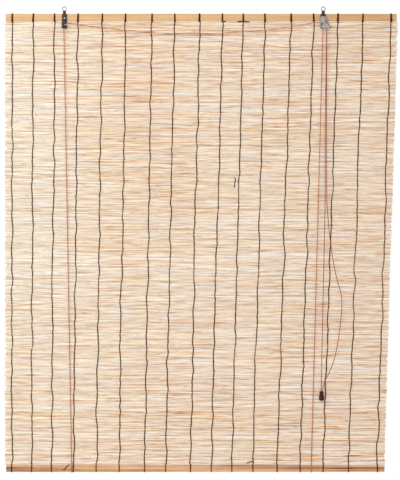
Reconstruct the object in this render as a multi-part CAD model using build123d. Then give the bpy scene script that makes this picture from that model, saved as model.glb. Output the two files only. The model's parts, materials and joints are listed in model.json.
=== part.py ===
from build123d import *
import math
import os

# A reed roll-up blind, in millimetres. X runs to the right as seen from the front, Y runs away
# from the viewer and Z runs up. The origin lies midway between the two hanging eyes.

# Head rail
rail_length = 1000.0
rail_height = 18.0
rail_depth = 9.0
rail_edge_radius = 1.2
rail_drop = 12.0
left_overhang = 150.5
right_overhang = 188.0

# Hanging eyes and their sheet metal
eye_bore_radius = 3.9
eye_rim = 2.6
eye_thickness = 2.0
tang_width = 5.0
sheet = 0.8
neck_width = 7.7
neck_top = 4.1
neck_length = 7.2
shoulder_height = 2.4

# Left hanger cheeks
cheek_top_width = 11.8
cheek_foot_width = 13.5
cheek_drop = 49.6
cheek_corner_radius = 3.0
cheek_step_drop = 27.0
cheek_step_height = 3.5
left_screw_drop = 23.8

# Cord lock
lock_top_drop = 19.2
lock_bend_drop = 28.6
lock_hip_drop = 38.4
lock_foot_drop = 49.6
lock_left_reach = 7.2
lock_top_right_reach = 7.4
lock_hip_reach = 14.94
lock_foot_right_reach = 19.0
lock_corner_radius = 1.6
lock_inlet_radius = 2.2
lock_screw_reach = 4.8
lock_screw_drop = 14.6
shoulder_plate_width = 15.0
shoulder_plate_drop = 24.0

# Screws and rivets
screw_head_radius = 2.0
screw_head_height = 1.3
screw_shank_radius = 1.0
screw_length = 8.5
axle_radius = 1.25
rivet_head_radius = 2.1
rivet_head_height = 0.9

# Pulleys
pulley_cord_radius = 4.5
pulley_rim_radius = 5.6
pulley_flange = 0.6
pulley_side_gap = 0.3
left_pulley_reach = 3.0
left_pulley_drop = 40.4
right_pulley_reach = 4.3
right_pulley_drop = 36.7

# Lock roller, toothed, with a pin at each end
roller_tip_radius = 2.2
roller_root_radius = 1.8
roller_teeth = 12
roller_pin_radius = 0.7
roller_pin_gap = 0.15
roller_wall_gap = 0.3
roller_travel = 4.5
roller_foot_gap = 4.8

# Reed mat
mat_height = 1132.5
mat_thickness = 3.4
web_thickness = 0.8
mat_side_reach = 2.5
ragged_depth = 7.0
reed_bands = 25
ridges_in_band = 6
slits_in_band = 2
slit_height = 1.2
slit_length = 80.0

# Foot canes
cane_shortfall = 32.0
cane_inset = 1.0
cane_radius = 3.0
cane_tip_radius = 2.7
cane_gap = 0.4

# Stitch threads
thread_width = 2.6
thread_thickness = 0.8
wrap_thickness = 1.0
wrap_top_width = 3.4
wrap_foot_width = 4.4
knot_width = 4.2
knot_depth = 1.2
lashing_width = 3.0
lashing_thickness = 0.9
thread_jog = 2.8

# Cords, staples and tassel
cord_diameter = 2.0
cord_sides = 6
cord_turn_runs = 8
sling_rise = 4.0
turn_run = 3.0
staple_width = 6.0
staple_wire = 0.8
staple_height = 1.2
staple_leg = 5.0
end_knot_radius = 2.2
tassel_height = 23.7
tassel_sides = 12
tassel_top_radius = 5.1
tassel_waist_radius = 4.5
tassel_cheek_radius = 6.6
tassel_belly_radius = 6.9
tassel_lip_radius = 6.4
tassel_foot_radius = 5.2
tassel_bore_radius = 2.3
tassel_hollow_radius = 3.6
tassel_hollow_height = 9.0
tassel_knot_radius = 3.0
tassel_y = -6.2

# Clearances and cuts
hole_gap = 0.05
soft_gap = 0.15
cord_gap = 0.25
end_gap = 0.1
overrun = 2.0

# Shares chosen by eye
left_end_shares = (0.2, 0.75, 0.45, 0.0, 0.6, 0.3, 0.9, 0.5, 0.15, 0.7, 0.35)
right_end_shares = (0.5, 0.1, 0.8, 0.35, 0.65, 0.0, 0.4, 0.9, 0.25)
slit_length_shares = (1.0, 0.55, 1.4, 0.75, 1.15, 0.4, 0.9)
slit_step_share = 0.618
slit_margin_share = 0.06
tassel_waist_share = 0.24
tassel_shoulder_share = 0.44
tassel_cheek_share = 0.62
tassel_belly_share = 0.78
tassel_lip_share = 0.92
corner_share = 0.25

# Columns and rows of the photograph, in its pixels
photo_px = 2.557
rail_left_px = 5.6
left_eye_px = 64.46
right_eye_px = 323.17
rail_right_px = 396.7
eye_row_px = 9.1
thread_head_px = (12.2, 33.2, 54.5, 78.0, 102.3, 125.5, 152.0, 174.8, 199.5, 222.4, 243.3, 265.0, 291.2,
                  313.7, 338.0, 363.0, 391.2)
thread_foot_px = (11.4, 31.4, 51.2, 73.2, 96.0, 119.1, 144.5, 165.5, 190.4, 211.2, 231.8, 252.9, 277.2,
                  300.2, 323.2, 348.6, 377.5)
left_lift_foot_px = 71.5
right_lift_foot_px = 311.4
tassel_column_px = 321.3
tassel_row_px = 391.0
swag_px = ((78.0, 24.6), (95.0, 27.1), (114.0, 29.2), (135.0, 31.4), (157.0, 33.1), (179.0, 33.9),
           (201.0, 33.8), (223.0, 33.1), (244.0, 31.9), (264.0, 30.7), (281.0, 28.7), (296.0, 26.2),
           (309.0, 23.7))
tight_px = ((324.9, 130.0), (325.1, 195.0), (324.0, 250.0), (322.3, 325.0))
slack_px = ((325.9, 195.0), (327.5, 215.0), (329.6, 238.0), (332.7, 261.0), (337.0, 281.0), (341.5, 295.0),
            (341.8, 309.0), (339.7, 327.0), (337.2, 346.0), (333.4, 362.0), (328.6, 373.0), (323.8, 383.0))

# Places that follow from the sizes
eye_spacing = rail_length - left_overhang - right_overhang
left_eye_x = -eye_spacing / 2
right_eye_x = eye_spacing / 2
rail_left = left_eye_x - left_overhang
rail_right = rail_left + rail_length
plate_back_y = eye_thickness / 2 + sheet
plate_front_y = -plate_back_y
rail_front_y = plate_back_y
rail_back_y = rail_front_y + rail_depth
mat_y = (rail_front_y + rail_back_y) / 2
rail_top = -rail_drop
rail_bottom = rail_top - rail_height
wrap_room = wrap_thickness + 2 * soft_gap
mat_top = rail_bottom - wrap_room
mat_bottom = mat_top - mat_height
ridge_pitch = mat_height / (reed_bands * ridges_in_band)
strand_front_y = mat_y - mat_thickness / 2 - soft_gap - thread_thickness
strand_back_y = mat_y + mat_thickness / 2 + soft_gap
cane_top = mat_bottom - lashing_thickness - 2 * soft_gap
cane_pitch = 2 * cane_radius + cane_gap
cane_left = rail_left + cane_inset
cane_length = rail_length - cane_shortfall
mat_taper = cane_shortfall - 2 * cane_inset
cord_radius = cord_diameter / 2
groove_radius = pulley_cord_radius - cord_radius - cord_gap
left_groove = cord_diameter + 2 * cord_gap
right_groove = 2 * cord_diameter + end_gap + 2 * cord_gap
left_room = left_groove + 2 * pulley_flange + 2 * pulley_side_gap
right_room = right_groove + 2 * pulley_flange + 2 * pulley_side_gap
left_pulley_x = left_eye_x + left_pulley_reach
left_pulley_y = eye_thickness / 2 - left_room / 2
right_pulley_x = right_eye_x + right_pulley_reach
lock_back_y = eye_thickness / 2
lock_front_y = lock_back_y - right_room - 2 * sheet
right_pulley_y = (lock_back_y + lock_front_y) / 2
near_cord_y = right_pulley_y - (cord_diameter + end_gap) / 2
far_cord_y = right_pulley_y + (cord_diameter + end_gap) / 2
sling_radius = cane_radius + cord_gap + cord_radius
sling_top = cane_top + sling_rise
staple_z = (rail_top + rail_bottom) / 2
back_cord_y = rail_back_y + end_gap + cord_radius
lock_mouth_z = -lock_foot_drop - end_gap
stations = (
    (rail_left_px, rail_left),
    (left_eye_px, left_eye_x),
    (right_eye_px, right_eye_x),
    (rail_right_px, rail_right),
)


def column(px):
    """X of a photograph column, by its place between the rail's ends and the eyes."""
    before, after = stations[0:2]
    for station in stations[2:]:
        if px > after[0]:
            before, after = after, station
    share = (px - before[0]) / (after[0] - before[0])
    return before[1] + share * (after[1] - before[1])


def row(px):
    """Z of a photograph row."""
    return (eye_row_px - px) * photo_px


def slab(outline, front_y, back_y):
    """An outline in X and Z, made thick from its front face to its back face."""
    return extrude(Plane.XZ.offset(-back_y) * outline, back_y - front_y, dir=(0, -1, 0))


def rod(radius, x, z, front_y, back_y):
    """A round bar along Y."""
    return slab(Pos(x, z) * Circle(radius), front_y, back_y)


def bar(section, left, right):
    """A section in Y and Z, drawn out along X."""
    return extrude(Plane.YZ.offset(left) * section, right - left, dir=(1, 0, 0))


def turned(points, x, y, z):
    """A solid turned about Y. Each point is a radius and a distance from y, away from the viewer."""
    outline = make_face(Polyline([(radius, depth) for radius, depth in points], close=True))
    return Pos(x, y, z) * revolve(outline, Axis.Y)


def screw(x, z, seat_y):
    """A flat-topped screw whose head sits on a plate's front face at seat_y."""
    head = rod(screw_head_radius, x, z, seat_y - screw_head_height, seat_y)
    return head + rod(screw_shank_radius, x, z, seat_y, seat_y + screw_length)


def rivet(x, z, front_y, back_y):
    """A rivet with a low head in front and its foot flush with the back."""
    head = rod(rivet_head_radius, x, z, front_y - rivet_head_height, front_y)
    return head + rod(axle_radius, x, z, front_y, back_y)


def pulley(x, y, z, groove):
    """A grooved wheel that runs on an axle along Y."""
    half = groove / 2 + pulley_flange
    bore = axle_radius + hole_gap
    return turned(
        (
            (bore, -half),
            (pulley_rim_radius, -half),
            (pulley_rim_radius, -groove / 2),
            (groove_radius, -groove / 2),
            (groove_radius, groove / 2),
            (pulley_rim_radius, groove / 2),
            (pulley_rim_radius, half),
            (bore, half),
        ),
        x, y, z,
    )


def eye(x, tang_foot):
    """A hanging eye: a flat ring with a tang that goes down between the plates."""
    tang_top = eye_bore_radius + eye_rim / 2
    blank = Circle(eye_bore_radius + eye_rim)
    blank += Pos(0, -(tang_top + tang_foot) / 2) * Rectangle(tang_width, tang_foot - tang_top)
    return slab(Pos(x) * (blank - Circle(eye_bore_radius)), -eye_thickness / 2, eye_thickness / 2)


def cheek_outline():
    """The left hanger's outline: a neck, two shoulders and a body that widens to its round foot."""
    half_neck, half_top, half_foot = neck_width / 2, cheek_top_width / 2, cheek_foot_width / 2
    neck_foot = neck_top + neck_length
    right_side = (
        (half_neck, -neck_top),
        (half_neck, -neck_foot),
        (half_top, -neck_foot - shoulder_height),
        (half_foot, -cheek_drop),
    )
    left_side = [(-x, z) for x, z in reversed(right_side)]
    outline = Polygon(*right_side, *left_side, align=None)
    outline = fillet(outline.vertices().group_by(Axis.Y)[0], cheek_corner_radius)
    return Pos(left_eye_x) * outline


def front_cheek_section():
    """The front cheek from the side: flat on the tang, then stepped forward to clear the pulley."""
    inner_top = -eye_thickness / 2
    inner_foot = eye_thickness / 2 - left_room
    step = inner_top - inner_foot
    shift = sheet * math.tan(math.atan2(step, cheek_step_height) / 2)
    step_foot = cheek_step_drop + cheek_step_height
    foot = cheek_drop + overrun
    return Polygon(
        (inner_top, 0),
        (inner_top, -cheek_step_drop - shift),
        (inner_foot, -step_foot - shift),
        (inner_foot, -foot),
        (inner_foot - sheet, -foot),
        (inner_foot - sheet, -step_foot),
        (inner_top - sheet, -cheek_step_drop),
        (inner_top - sheet, 0),
        align=None,
    )


def lock_outline():
    """The lock's outline: upright on the left, and flared on the right below an upright neck."""
    outline = Polygon(
        (-lock_left_reach, -lock_top_drop),
        (lock_top_right_reach, -lock_top_drop),
        (lock_top_right_reach, -lock_bend_drop),
        (lock_hip_reach, -lock_hip_drop),
        (lock_foot_right_reach, -lock_foot_drop),
        (-lock_left_reach, -lock_foot_drop),
        align=None,
    )
    outline = fillet(outline.vertices().group_by(Axis.Y)[-1], lock_corner_radius)
    return Pos(right_eye_x) * outline


# The roller runs along the lock's slanted wall, from its low end up to the cords
wall_slope = math.atan2(lock_foot_right_reach - lock_hip_reach, lock_foot_drop - lock_hip_drop)
roller_z = -lock_foot_drop + roller_foot_gap
wall_x = right_eye_x + lock_foot_right_reach - roller_foot_gap * math.tan(wall_slope)
roller_x = wall_x - (sheet + roller_wall_gap + roller_tip_radius) / math.cos(wall_slope)
roller_way = Vector(-math.sin(wall_slope), 0, math.cos(wall_slope))


def lock_slot():
    """The slanted slot that a roller pin slides in."""
    width = 2 * (roller_pin_radius + roller_pin_gap)
    middle_x = roller_x + roller_way.X * roller_travel / 2
    middle_z = roller_z + roller_way.Z * roller_travel / 2
    turn = 90 + math.degrees(wall_slope)
    return Pos(middle_x, middle_z) * Rot(0, 0, turn) * SlotOverall(roller_travel + width, width)


def lock_housing():
    """A folded sheet shell, open at the foot, with an inlet, axle holes and roller slots."""
    outline = lock_outline()
    inside = offset(outline, -sheet)
    foot = Pos(0, -sheet - overrun) * inside
    shell = slab(outline, lock_front_y, lock_back_y)
    shell -= slab(inside, lock_front_y + sheet, lock_back_y - sheet)
    shell -= slab(foot, lock_front_y + sheet, lock_back_y - sheet)
    shell -= slab(lock_slot(), lock_front_y - overrun, lock_back_y + overrun)
    shell -= rod(axle_radius + hole_gap, right_pulley_x, -right_pulley_drop,
                 lock_front_y - overrun, lock_back_y + overrun)
    inlet = Plane.YZ.offset(right_eye_x - lock_left_reach - overrun) * Pos(near_cord_y, inlet_z)
    return shell - extrude(inlet * Circle(lock_inlet_radius), sheet + 2 * overrun)


def lock_neck():
    """The folded neck: a sleeve round the right eye's foot, and a shoulder plate on the rail."""
    neck_foot = neck_top + neck_length
    neck = Pos(right_eye_x, -neck_top - neck_length / 2) * Rectangle(neck_width, neck_length)
    room_width = neck_width - 2 * sheet
    room = Pos(right_eye_x, -neck_top - neck_length / 2)
    room *= Rectangle(room_width, neck_length + 2 * overrun)
    room += Pos(right_eye_x) * Circle(eye_bore_radius + eye_rim + end_gap)
    sleeve = slab(neck, plate_front_y, plate_back_y)
    sleeve -= slab(room, -eye_thickness / 2, eye_thickness / 2)
    half = shoulder_plate_width / 2
    shoulders = Polygon(
        (-neck_width / 2, -neck_foot),
        (neck_width / 2, -neck_foot),
        (half, -neck_foot - shoulder_height),
        (half, -shoulder_plate_drop),
        (-half, -shoulder_plate_drop),
        (-half, -neck_foot - shoulder_height),
        align=None,
    )
    plate = slab(Pos(right_eye_x) * shoulders, lock_back_y, plate_back_y)
    for x in lock_screw_places:
        plate -= rod(screw_shank_radius + hole_gap, x, -lock_screw_drop,
                     lock_back_y - overrun, plate_back_y + overrun)
    return sleeve + plate


def lock_roller():
    """A toothed roller with a pin at each end, long enough to fill both slots."""
    points = []
    for tooth in range(2 * roller_teeth):
        radius = roller_root_radius if tooth % 2 else roller_tip_radius
        turn = math.pi * tooth / roller_teeth
        points.append((radius * math.cos(turn), radius * math.sin(turn)))
    place = Pos(roller_x, roller_z)
    inner_front = lock_front_y + sheet + pulley_side_gap
    inner_back = lock_back_y - sheet - pulley_side_gap
    roller = slab(place * Polygon(*points, align=None), inner_front, inner_back)
    return roller + rod(roller_pin_radius, roller_x, roller_z, lock_front_y, lock_back_y)


def head_rail():
    """The wood batten, with holes for its screws and staples."""
    middle_z = (rail_top + rail_bottom) / 2
    section = Pos(mat_y, middle_z) * RectangleRounded(rail_depth, rail_height, rail_edge_radius)
    rail = bar(section, rail_left, rail_right)
    hole = screw_shank_radius + hole_gap
    deep = screw_length - sheet + hole_gap
    left_deep = left_screw_seat + screw_length - rail_front_y + hole_gap
    rail -= rod(hole, left_eye_x, -left_screw_drop, rail_front_y - overrun, rail_front_y + left_deep)
    for x in lock_screw_places:
        rail -= rod(hole, x, -lock_screw_drop, rail_front_y - overrun, rail_front_y + deep)
    leg = staple_wire + 2 * hole_gap
    legs = Rectangle(leg, staple_height + 2 * hole_gap)
    for eye_x in (left_eye_x, right_eye_x):
        for side in (-1, 1):
            place = Pos(eye_x + side * (staple_width - staple_wire) / 2, staple_z)
            rail -= slab(place * legs, rail_back_y - staple_leg - hole_gap, rail_back_y + overrun)
    return rail


def staple(x):
    """A flat wire staple over the end of a lift cord, on the back of the rail."""
    bridge_y = rail_back_y + cord_diameter + 2 * end_gap
    outer, inner = staple_width / 2, staple_width / 2 - staple_wire
    leg_foot = rail_back_y - staple_leg
    outline = Polygon(
        (-outer, leg_foot),
        (-inner, leg_foot),
        (-inner, bridge_y),
        (inner, bridge_y),
        (inner, leg_foot),
        (outer, leg_foot),
        (outer, bridge_y + staple_wire),
        (-outer, bridge_y + staple_wire),
        align=None,
    )
    return extrude(Plane.XY.offset(staple_z - staple_height / 2) * Pos(x) * outline, staple_height)


def reed_band(index):
    """A few reeds side by side, as ridges on a thin web, with a slit or two between them."""
    top = mat_top - index * ridges_in_band * ridge_pitch
    front, back = [(mat_y - web_thickness / 2, top)], [(mat_y + web_thickness / 2, top)]
    for ridge in range(ridges_in_band):
        middle = top - (ridge + 1 / 2) * ridge_pitch
        foot = top - (ridge + 1) * ridge_pitch
        front += [(mat_y - mat_thickness / 2, middle), (mat_y - web_thickness / 2, foot)]
        back += [(mat_y + mat_thickness / 2, middle), (mat_y + web_thickness / 2, foot)]
    down_share = (index + 1 / 2) / reed_bands
    left = rail_left - mat_side_reach + ragged_depth * left_end_shares[index % len(left_end_shares)]
    right = rail_right + mat_side_reach - mat_taper * down_share
    right -= ragged_depth * right_end_shares[index % len(right_end_shares)]
    band = bar(Polygon(*front, *reversed(back), align=None), left, right)
    for slit in range(slits_in_band):
        count = index + slit * reed_bands
        across_share = slit_margin_share + (1 - 2 * slit_margin_share) * (count * slit_step_share % 1)
        valley = 1 + (3 * count) % (ridges_in_band - 1)
        length = slit_length * slit_length_shares[count % len(slit_length_shares)]
        place = Pos(left + (right - left) * across_share, mat_y, top - valley * ridge_pitch)
        band -= place * Box(length, mat_thickness + 2 * overrun, slit_height)
    return band


def reed_mat():
    """The whole mat: bands of reeds of uneven length, one below the other."""
    bands = [reed_band(index) for index in range(reed_bands)]
    return bands[0] + bands[1:]


def strand(head_x, foot_x, front_y):
    """One straight side of a stitch thread, down the mat."""
    half = thread_width / 2
    top = mat_top + soft_gap
    outline = Polygon(
        (head_x - half, top),
        (head_x + half, top),
        (foot_x + half, mat_bottom),
        (foot_x - half, mat_bottom),
        align=None,
    )
    return slab(outline, front_y, front_y + thread_thickness)


def stitch_thread(head_x, foot_x):
    """A thread down both faces of the mat, with its wrap round the rail and the knot on the wrap's foot.

    It ends a little to the right of the turns round the foot canes, as the thread steps over to them.
    """
    inner_top, inner_foot = rail_top + soft_gap, rail_bottom - soft_gap
    front, back = rail_front_y - soft_gap, rail_back_y + soft_gap
    half_top, half_foot = wrap_top_width / 2, wrap_foot_width / 2
    outline = Pos(head_x) * Polygon(
        (-half_top, inner_top + wrap_thickness),
        (half_top, inner_top + wrap_thickness),
        (half_foot, inner_foot - wrap_thickness),
        (-half_foot, inner_foot - wrap_thickness),
        align=None,
    )
    wrap = slab(outline, front - wrap_thickness, back + wrap_thickness)
    middle_z = (inner_top + inner_foot) / 2
    room = Pos((front + back) / 2, middle_z) * Rectangle(back - front, inner_top - inner_foot)
    wrap -= bar(room, head_x - wrap_foot_width, head_x + wrap_foot_width)
    knot_front = front - wrap_thickness - knot_depth
    knot = Pos(head_x, inner_foot) * Rectangle(knot_width, knot_width)
    thread = wrap + slab(knot, knot_front, front)
    return thread + [strand(head_x, foot_x + thread_jog, y) for y in (strand_front_y, strand_back_y)]


def lashing(x):
    """A turn of thread round the three foot canes."""
    low = cane_top - 2 * cane_pitch - 2 * cane_radius
    middle = Pos(mat_y, (cane_top + low) / 2)
    inner = Rectangle(2 * (cane_radius + soft_gap), cane_top - low + 2 * soft_gap)
    room = soft_gap + lashing_thickness
    outer = Rectangle(2 * (cane_radius + room), cane_top - low + 2 * room)
    return bar(middle * (outer - inner), x - lashing_width / 2, x + lashing_width / 2)


def foot_cane(order):
    """A cane that tapers to its tip. The middle one lies the other way round."""
    z = cane_top - cane_radius - order * cane_pitch
    left, right = (cane_tip_radius, cane_radius) if order % 2 else (cane_radius, cane_tip_radius)
    outline = Polyline((0, 0), (0, left), (cane_length, right), (cane_length, 0), close=True)
    return Pos(cane_left, mat_y, z) * revolve(make_face(outline), Axis.X)


def arc(centre_x, centre_z, radius, start, end):
    """Points along an arc about a centre, a short straight run apart."""
    runs = math.ceil(cord_turn_runs * abs(end - start) / math.pi)
    turns = [start + (end - start) * step / runs for step in range(runs + 1)]
    return [(centre_x + radius * math.cos(turn), centre_z + radius * math.sin(turn)) for turn in turns]


def eased(points):
    """The same route with its corners cut off, so that it bends in smaller steps."""
    points = [Vector(*point) for point in points]
    route = [points[0]]
    for before, corner, after in zip(points, points[1:], points[2:]):
        route.append(corner + (before - corner) * corner_share)
        route.append(corner + (after - corner) * corner_share)
    return route + [points[-1]]


def corners(radius, sides):
    """The corners of a regular polygon about the origin."""
    turns = [2 * math.pi * side / sides for side in range(sides)]
    return [(radius * math.cos(turn), radius * math.sin(turn)) for turn in turns]


def flat_sided(loops):
    """A solid with flat sides between closed loops of points, each joined to the next."""
    outlines = [loops[0], loops[-1]]
    for upper, lower in zip(loops, loops[1:]):
        for side in range(len(upper)):
            outlines.append((upper[side - 1], upper[side], lower[side], lower[side - 1]))
    faces = [make_face(Polyline(*outline, close=True)).face() for outline in outlines]
    return Solid(Shell(faces))


def cord(name, points):
    """A cord in straight runs with mitred corners, with a few flat sides in place of a round."""
    points = [Vector(*point) for point in points]
    runs = [(after - before).normalized() for before, after in zip(points, points[1:])]
    mitres = [before + after for before, after in zip(runs, runs[1:])] + [runs[-1]]
    start = Plane(origin=points[0], z_dir=runs[0])
    loops = [[start.from_local_coords((x, y, 0)) for x, y in corners(cord_radius, cord_sides)]]
    for run, mitre, corner in zip(runs, mitres, points[1:]):
        loops.append([spot + run * ((corner - spot).dot(mitre) / run.dot(mitre)) for spot in loops[-1]])
    solid = flat_sided(loops)
    length = sum((after - before).length for before, after in zip(points, points[1:]))
    share = solid.volume / (RegularPolygon(cord_radius, cord_sides).area * length)
    print(name, "length", round(length, 1), "volume share", round(share, 4))
    return solid


def tangent_rise(point, pulley_x, pulley_z):
    """The slope of the line from a point that touches the top of a pulley's cord circle."""
    across, up = pulley_x - point[0], pulley_z - point[1]
    turn = math.asin(pulley_cord_radius / math.hypot(across, up))
    way = math.atan2(up, across)
    return math.tan(way + turn) if across > 0 else math.tan(way - turn)


swag = [(column(px), row(py)) for px, py in swag_px]
left_rise = tangent_rise(swag[0], left_pulley_x, -left_pulley_drop)
right_rise = tangent_rise(swag[-1], right_pulley_x, -right_pulley_drop)
left_lift_head_z = -left_pulley_drop - turn_run
right_lift_head_z = -right_pulley_drop - turn_run
left_turn_x = left_pulley_x - pulley_cord_radius
right_turn_x = right_pulley_x + pulley_cord_radius
inlet_z = swag[-1][1] + right_rise * (right_eye_x - lock_left_reach - swag[-1][0])
lock_screw_places = (right_eye_x - lock_screw_reach, right_eye_x + lock_screw_reach)
left_screw_seat = plate_front_y
tassel_x = column(tassel_column_px)
tassel_top = row(tassel_row_px)
left_foot_x = column(left_lift_foot_px)
right_foot_x = column(right_lift_foot_px)
sling_front_y = mat_y - sling_radius
sling_back_y = mat_y + sling_radius
pair_step = (cord_diameter + end_gap) / 2


def cross_cord():
    """Up over the left pulley, across in a sag, over the right pulley and down to the lock's mouth."""
    steps = len(swag) - 1
    left_touch = math.pi / 2 + math.atan(left_rise)
    right_touch = math.pi / 2 + math.atan(right_rise)
    over_left = arc(left_pulley_x, -left_pulley_drop, pulley_cord_radius, math.pi, left_touch)
    over_right = arc(right_pulley_x, -right_pulley_drop, pulley_cord_radius, right_touch, 0)
    route = [(left_turn_x, left_pulley_y, left_lift_head_z + end_gap)]
    route += [(x, left_pulley_y, z) for x, z in over_left]
    for index, (x, z) in enumerate(swag):
        route.append((x, left_pulley_y + (near_cord_y - left_pulley_y) * index / steps, z))
    route += [(x, near_cord_y, z) for x, z in over_right]
    return cord("cross_cord", route + [(right_turn_x, near_cord_y, lock_mouth_z)])


def right_turn_cord():
    """The right lift cord's half turn over its pulley, down to the lock's mouth."""
    over = arc(right_pulley_x, -right_pulley_drop, pulley_cord_radius, math.pi, 0)
    start = (right_pulley_x - pulley_cord_radius, right_lift_head_z + end_gap)
    route = [start, *over, (right_turn_x, lock_mouth_z)]
    return cord("right_turn_cord", [(x, far_cord_y, z) for x, z in route])


def sling(name, x):
    """A lift cord's turn under the foot canes."""
    low = cane_top - cane_radius - 2 * cane_pitch
    under = arc(mat_y, low, sling_radius, math.pi, 2 * math.pi)
    route = [(sling_front_y, sling_top), *under, (sling_back_y, sling_top)]
    return cord(name, [(x, y, z) for y, z in route])


def back_cord(name, foot_x, head_x):
    """A lift cord up the back of the mat and under its staple, with a knot on its end."""
    end_z = staple_z + staple_height / 2 + end_knot_radius
    points = [
        (foot_x, sling_back_y, sling_top + end_gap),
        (head_x, back_cord_y, rail_bottom - wrap_room),
        (head_x, back_cord_y, end_z),
    ]
    knot_y = rail_back_y + end_gap + end_knot_radius
    knot = Pos(head_x, knot_y, end_z + end_knot_radius / 2) * RegularPolygon(end_knot_radius, cord_sides)
    knot = extrude(knot, end_knot_radius, both=True)
    return cord(name, points) + knot


def tassel():
    """A turned wood acorn in flat-sided bands, bored for the cords and hollow below for their knot."""
    low = -tassel_height
    rings = (
        (tassel_top_radius, 0),
        (tassel_waist_radius, low * tassel_waist_share),
        ((tassel_waist_radius + tassel_cheek_radius) / 2, low * tassel_shoulder_share),
        (tassel_cheek_radius, low * tassel_cheek_share),
        (tassel_belly_radius, low * tassel_belly_share),
        (tassel_lip_radius, low * tassel_lip_share),
        (tassel_foot_radius, low),
    )
    acorn = flat_sided([[(x, y, z) for x, y in corners(radius, tassel_sides)] for radius, z in rings])
    bore = RegularPolygon(tassel_bore_radius, tassel_sides)
    acorn -= extrude(Plane.XY.offset(low - overrun) * bore, tassel_height + 2 * overrun)
    hollow = RegularPolygon(tassel_hollow_radius, tassel_sides)
    acorn -= extrude(Plane.XY.offset(low - overrun) * hollow, tassel_hollow_height + overrun)
    return Pos(tassel_x, tassel_y, tassel_top) * acorn


def tassel_end(side):
    """Where a draw cord goes into the tassel, and where it ends above the knot."""
    x = tassel_x + side * pair_step
    mouth = tassel_top + end_gap + cord_diameter
    foot = tassel_top - tassel_height + tassel_hollow_height
    return [(x, tassel_y, mouth), (x, tassel_y, foot)]


def draw_cord_tight():
    """The draw cord that carries the tassel, nearly straight from the lock's mouth."""
    top = lock_mouth_z - end_gap
    route = [(right_turn_x, far_cord_y, top)]
    for px, py in tight_px:
        down_share = (row(py) - top) / (tassel_top - top)
        route.append((column(px), far_cord_y + (tassel_y - far_cord_y) * down_share, row(py)))
    return cord("draw_cord_tight", route + tassel_end(-1))


def draw_cord_slack():
    """The slack draw cord: beside the tight one at first, then bowed out and back to the tassel."""
    start = (right_turn_x, near_cord_y, lock_mouth_z - end_gap)
    slack = [(column(px), tassel_y, row(py)) for px, py in slack_px]
    return cord("draw_cord_slack", eased([start] + slack) + tassel_end(1))


def tassel_knot():
    """The knot of the draw cords, in the tassel's hollow."""
    hollow_top = tassel_top - tassel_height + tassel_hollow_height
    knot = Plane.XY.offset(hollow_top - end_gap) * Pos(tassel_x, tassel_y)
    return extrude(knot * RegularPolygon(tassel_knot_radius, cord_sides), -2 * tassel_knot_radius)


def save(name, shape):
    """Writes one node's file."""
    export_step(shape, os.path.join("parts", name + ".step"))


def main():
    """Makes every piece and writes it."""
    os.makedirs("parts", exist_ok=True)
    save("head_rail", head_rail())
    save("reed_mat", reed_mat())

    threads = list(zip(thread_head_px, thread_foot_px))
    for number, (head_px, foot_px) in enumerate(threads, start=1):
        save(f"stitch_thread_{number:02d}", stitch_thread(column(head_px), column(foot_px)))
    save("foot_lashings", Compound([lashing(column(foot_px)) for _, foot_px in threads]))
    for order, place in enumerate(("upper", "middle", "lower")):
        save("foot_cane_" + place, foot_cane(order))

    left_tang_foot = left_screw_drop + tang_width / 2
    screw_hole = rod(screw_shank_radius + hole_gap, left_eye_x, -left_screw_drop,
                     plate_front_y - overrun, rail_front_y)
    axle_hole = rod(axle_radius + hole_gap, left_pulley_x, -left_pulley_drop,
                    plate_front_y - left_room - overrun, plate_back_y + overrun)
    outline = cheek_outline()
    back_cheek = slab(outline, eye_thickness / 2, plate_back_y)
    stepped = bar(front_cheek_section(), left_eye_x - cheek_foot_width, left_eye_x + cheek_foot_width)
    front_cheek = stepped & slab(outline, plate_front_y - left_room, plate_back_y)
    save("left_back_cheek", back_cheek - screw_hole - axle_hole)
    save("left_front_cheek", front_cheek - screw_hole - axle_hole)
    save("left_eye", eye(left_eye_x, left_tang_foot) - screw_hole)
    save("right_eye", eye(right_eye_x, neck_top + neck_length))

    left_front_y = eye_thickness / 2 - left_room - sheet
    left_axle = rivet(left_pulley_x, -left_pulley_drop, left_front_y, plate_back_y)
    right_axle = rivet(right_pulley_x, -right_pulley_drop, lock_front_y, lock_back_y)
    save("pulley_axles", Compound([left_axle, right_axle]))
    left_screw = screw(left_eye_x, -left_screw_drop, left_screw_seat)
    lock_screws = [screw(x, -lock_screw_drop, lock_back_y) for x in lock_screw_places]
    save("hanger_screws", Compound([left_screw, *lock_screws]))
    save("left_pulley", pulley(left_pulley_x, left_pulley_y, -left_pulley_drop, left_groove))
    save("right_pulley", pulley(right_pulley_x, right_pulley_y, -right_pulley_drop, right_groove))
    save("lock_neck", lock_neck())
    save("lock_housing", lock_housing())
    save("lock_roller", lock_roller())
    save("left_staple", staple(left_eye_x))
    save("right_staple", staple(right_eye_x))

    left_head = (left_turn_x, left_pulley_y, left_lift_head_z)
    right_head = (right_pulley_x - pulley_cord_radius, far_cord_y, right_lift_head_z)
    left_foot = (left_foot_x, sling_front_y, sling_top + end_gap)
    right_foot = (right_foot_x, sling_front_y, sling_top + end_gap)
    save("left_lift_cord", cord("left_lift_cord", [left_head, left_foot]))
    save("right_lift_cord", cord("right_lift_cord", [right_head, right_foot]))
    save("left_back_cord", back_cord("left_back_cord", left_foot_x, left_eye_x))
    save("right_back_cord", back_cord("right_back_cord", right_foot_x, right_eye_x))
    save("left_sling", sling("left_sling", left_foot_x))
    save("right_sling", sling("right_sling", right_foot_x))
    save("cross_cord", cross_cord())
    save("right_turn_cord", right_turn_cord())
    save("draw_cord_tight", draw_cord_tight())
    save("draw_cord_slack", draw_cord_slack())
    save("tassel", tassel())
    save("tassel_knot", tassel_knot())


main()
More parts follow.
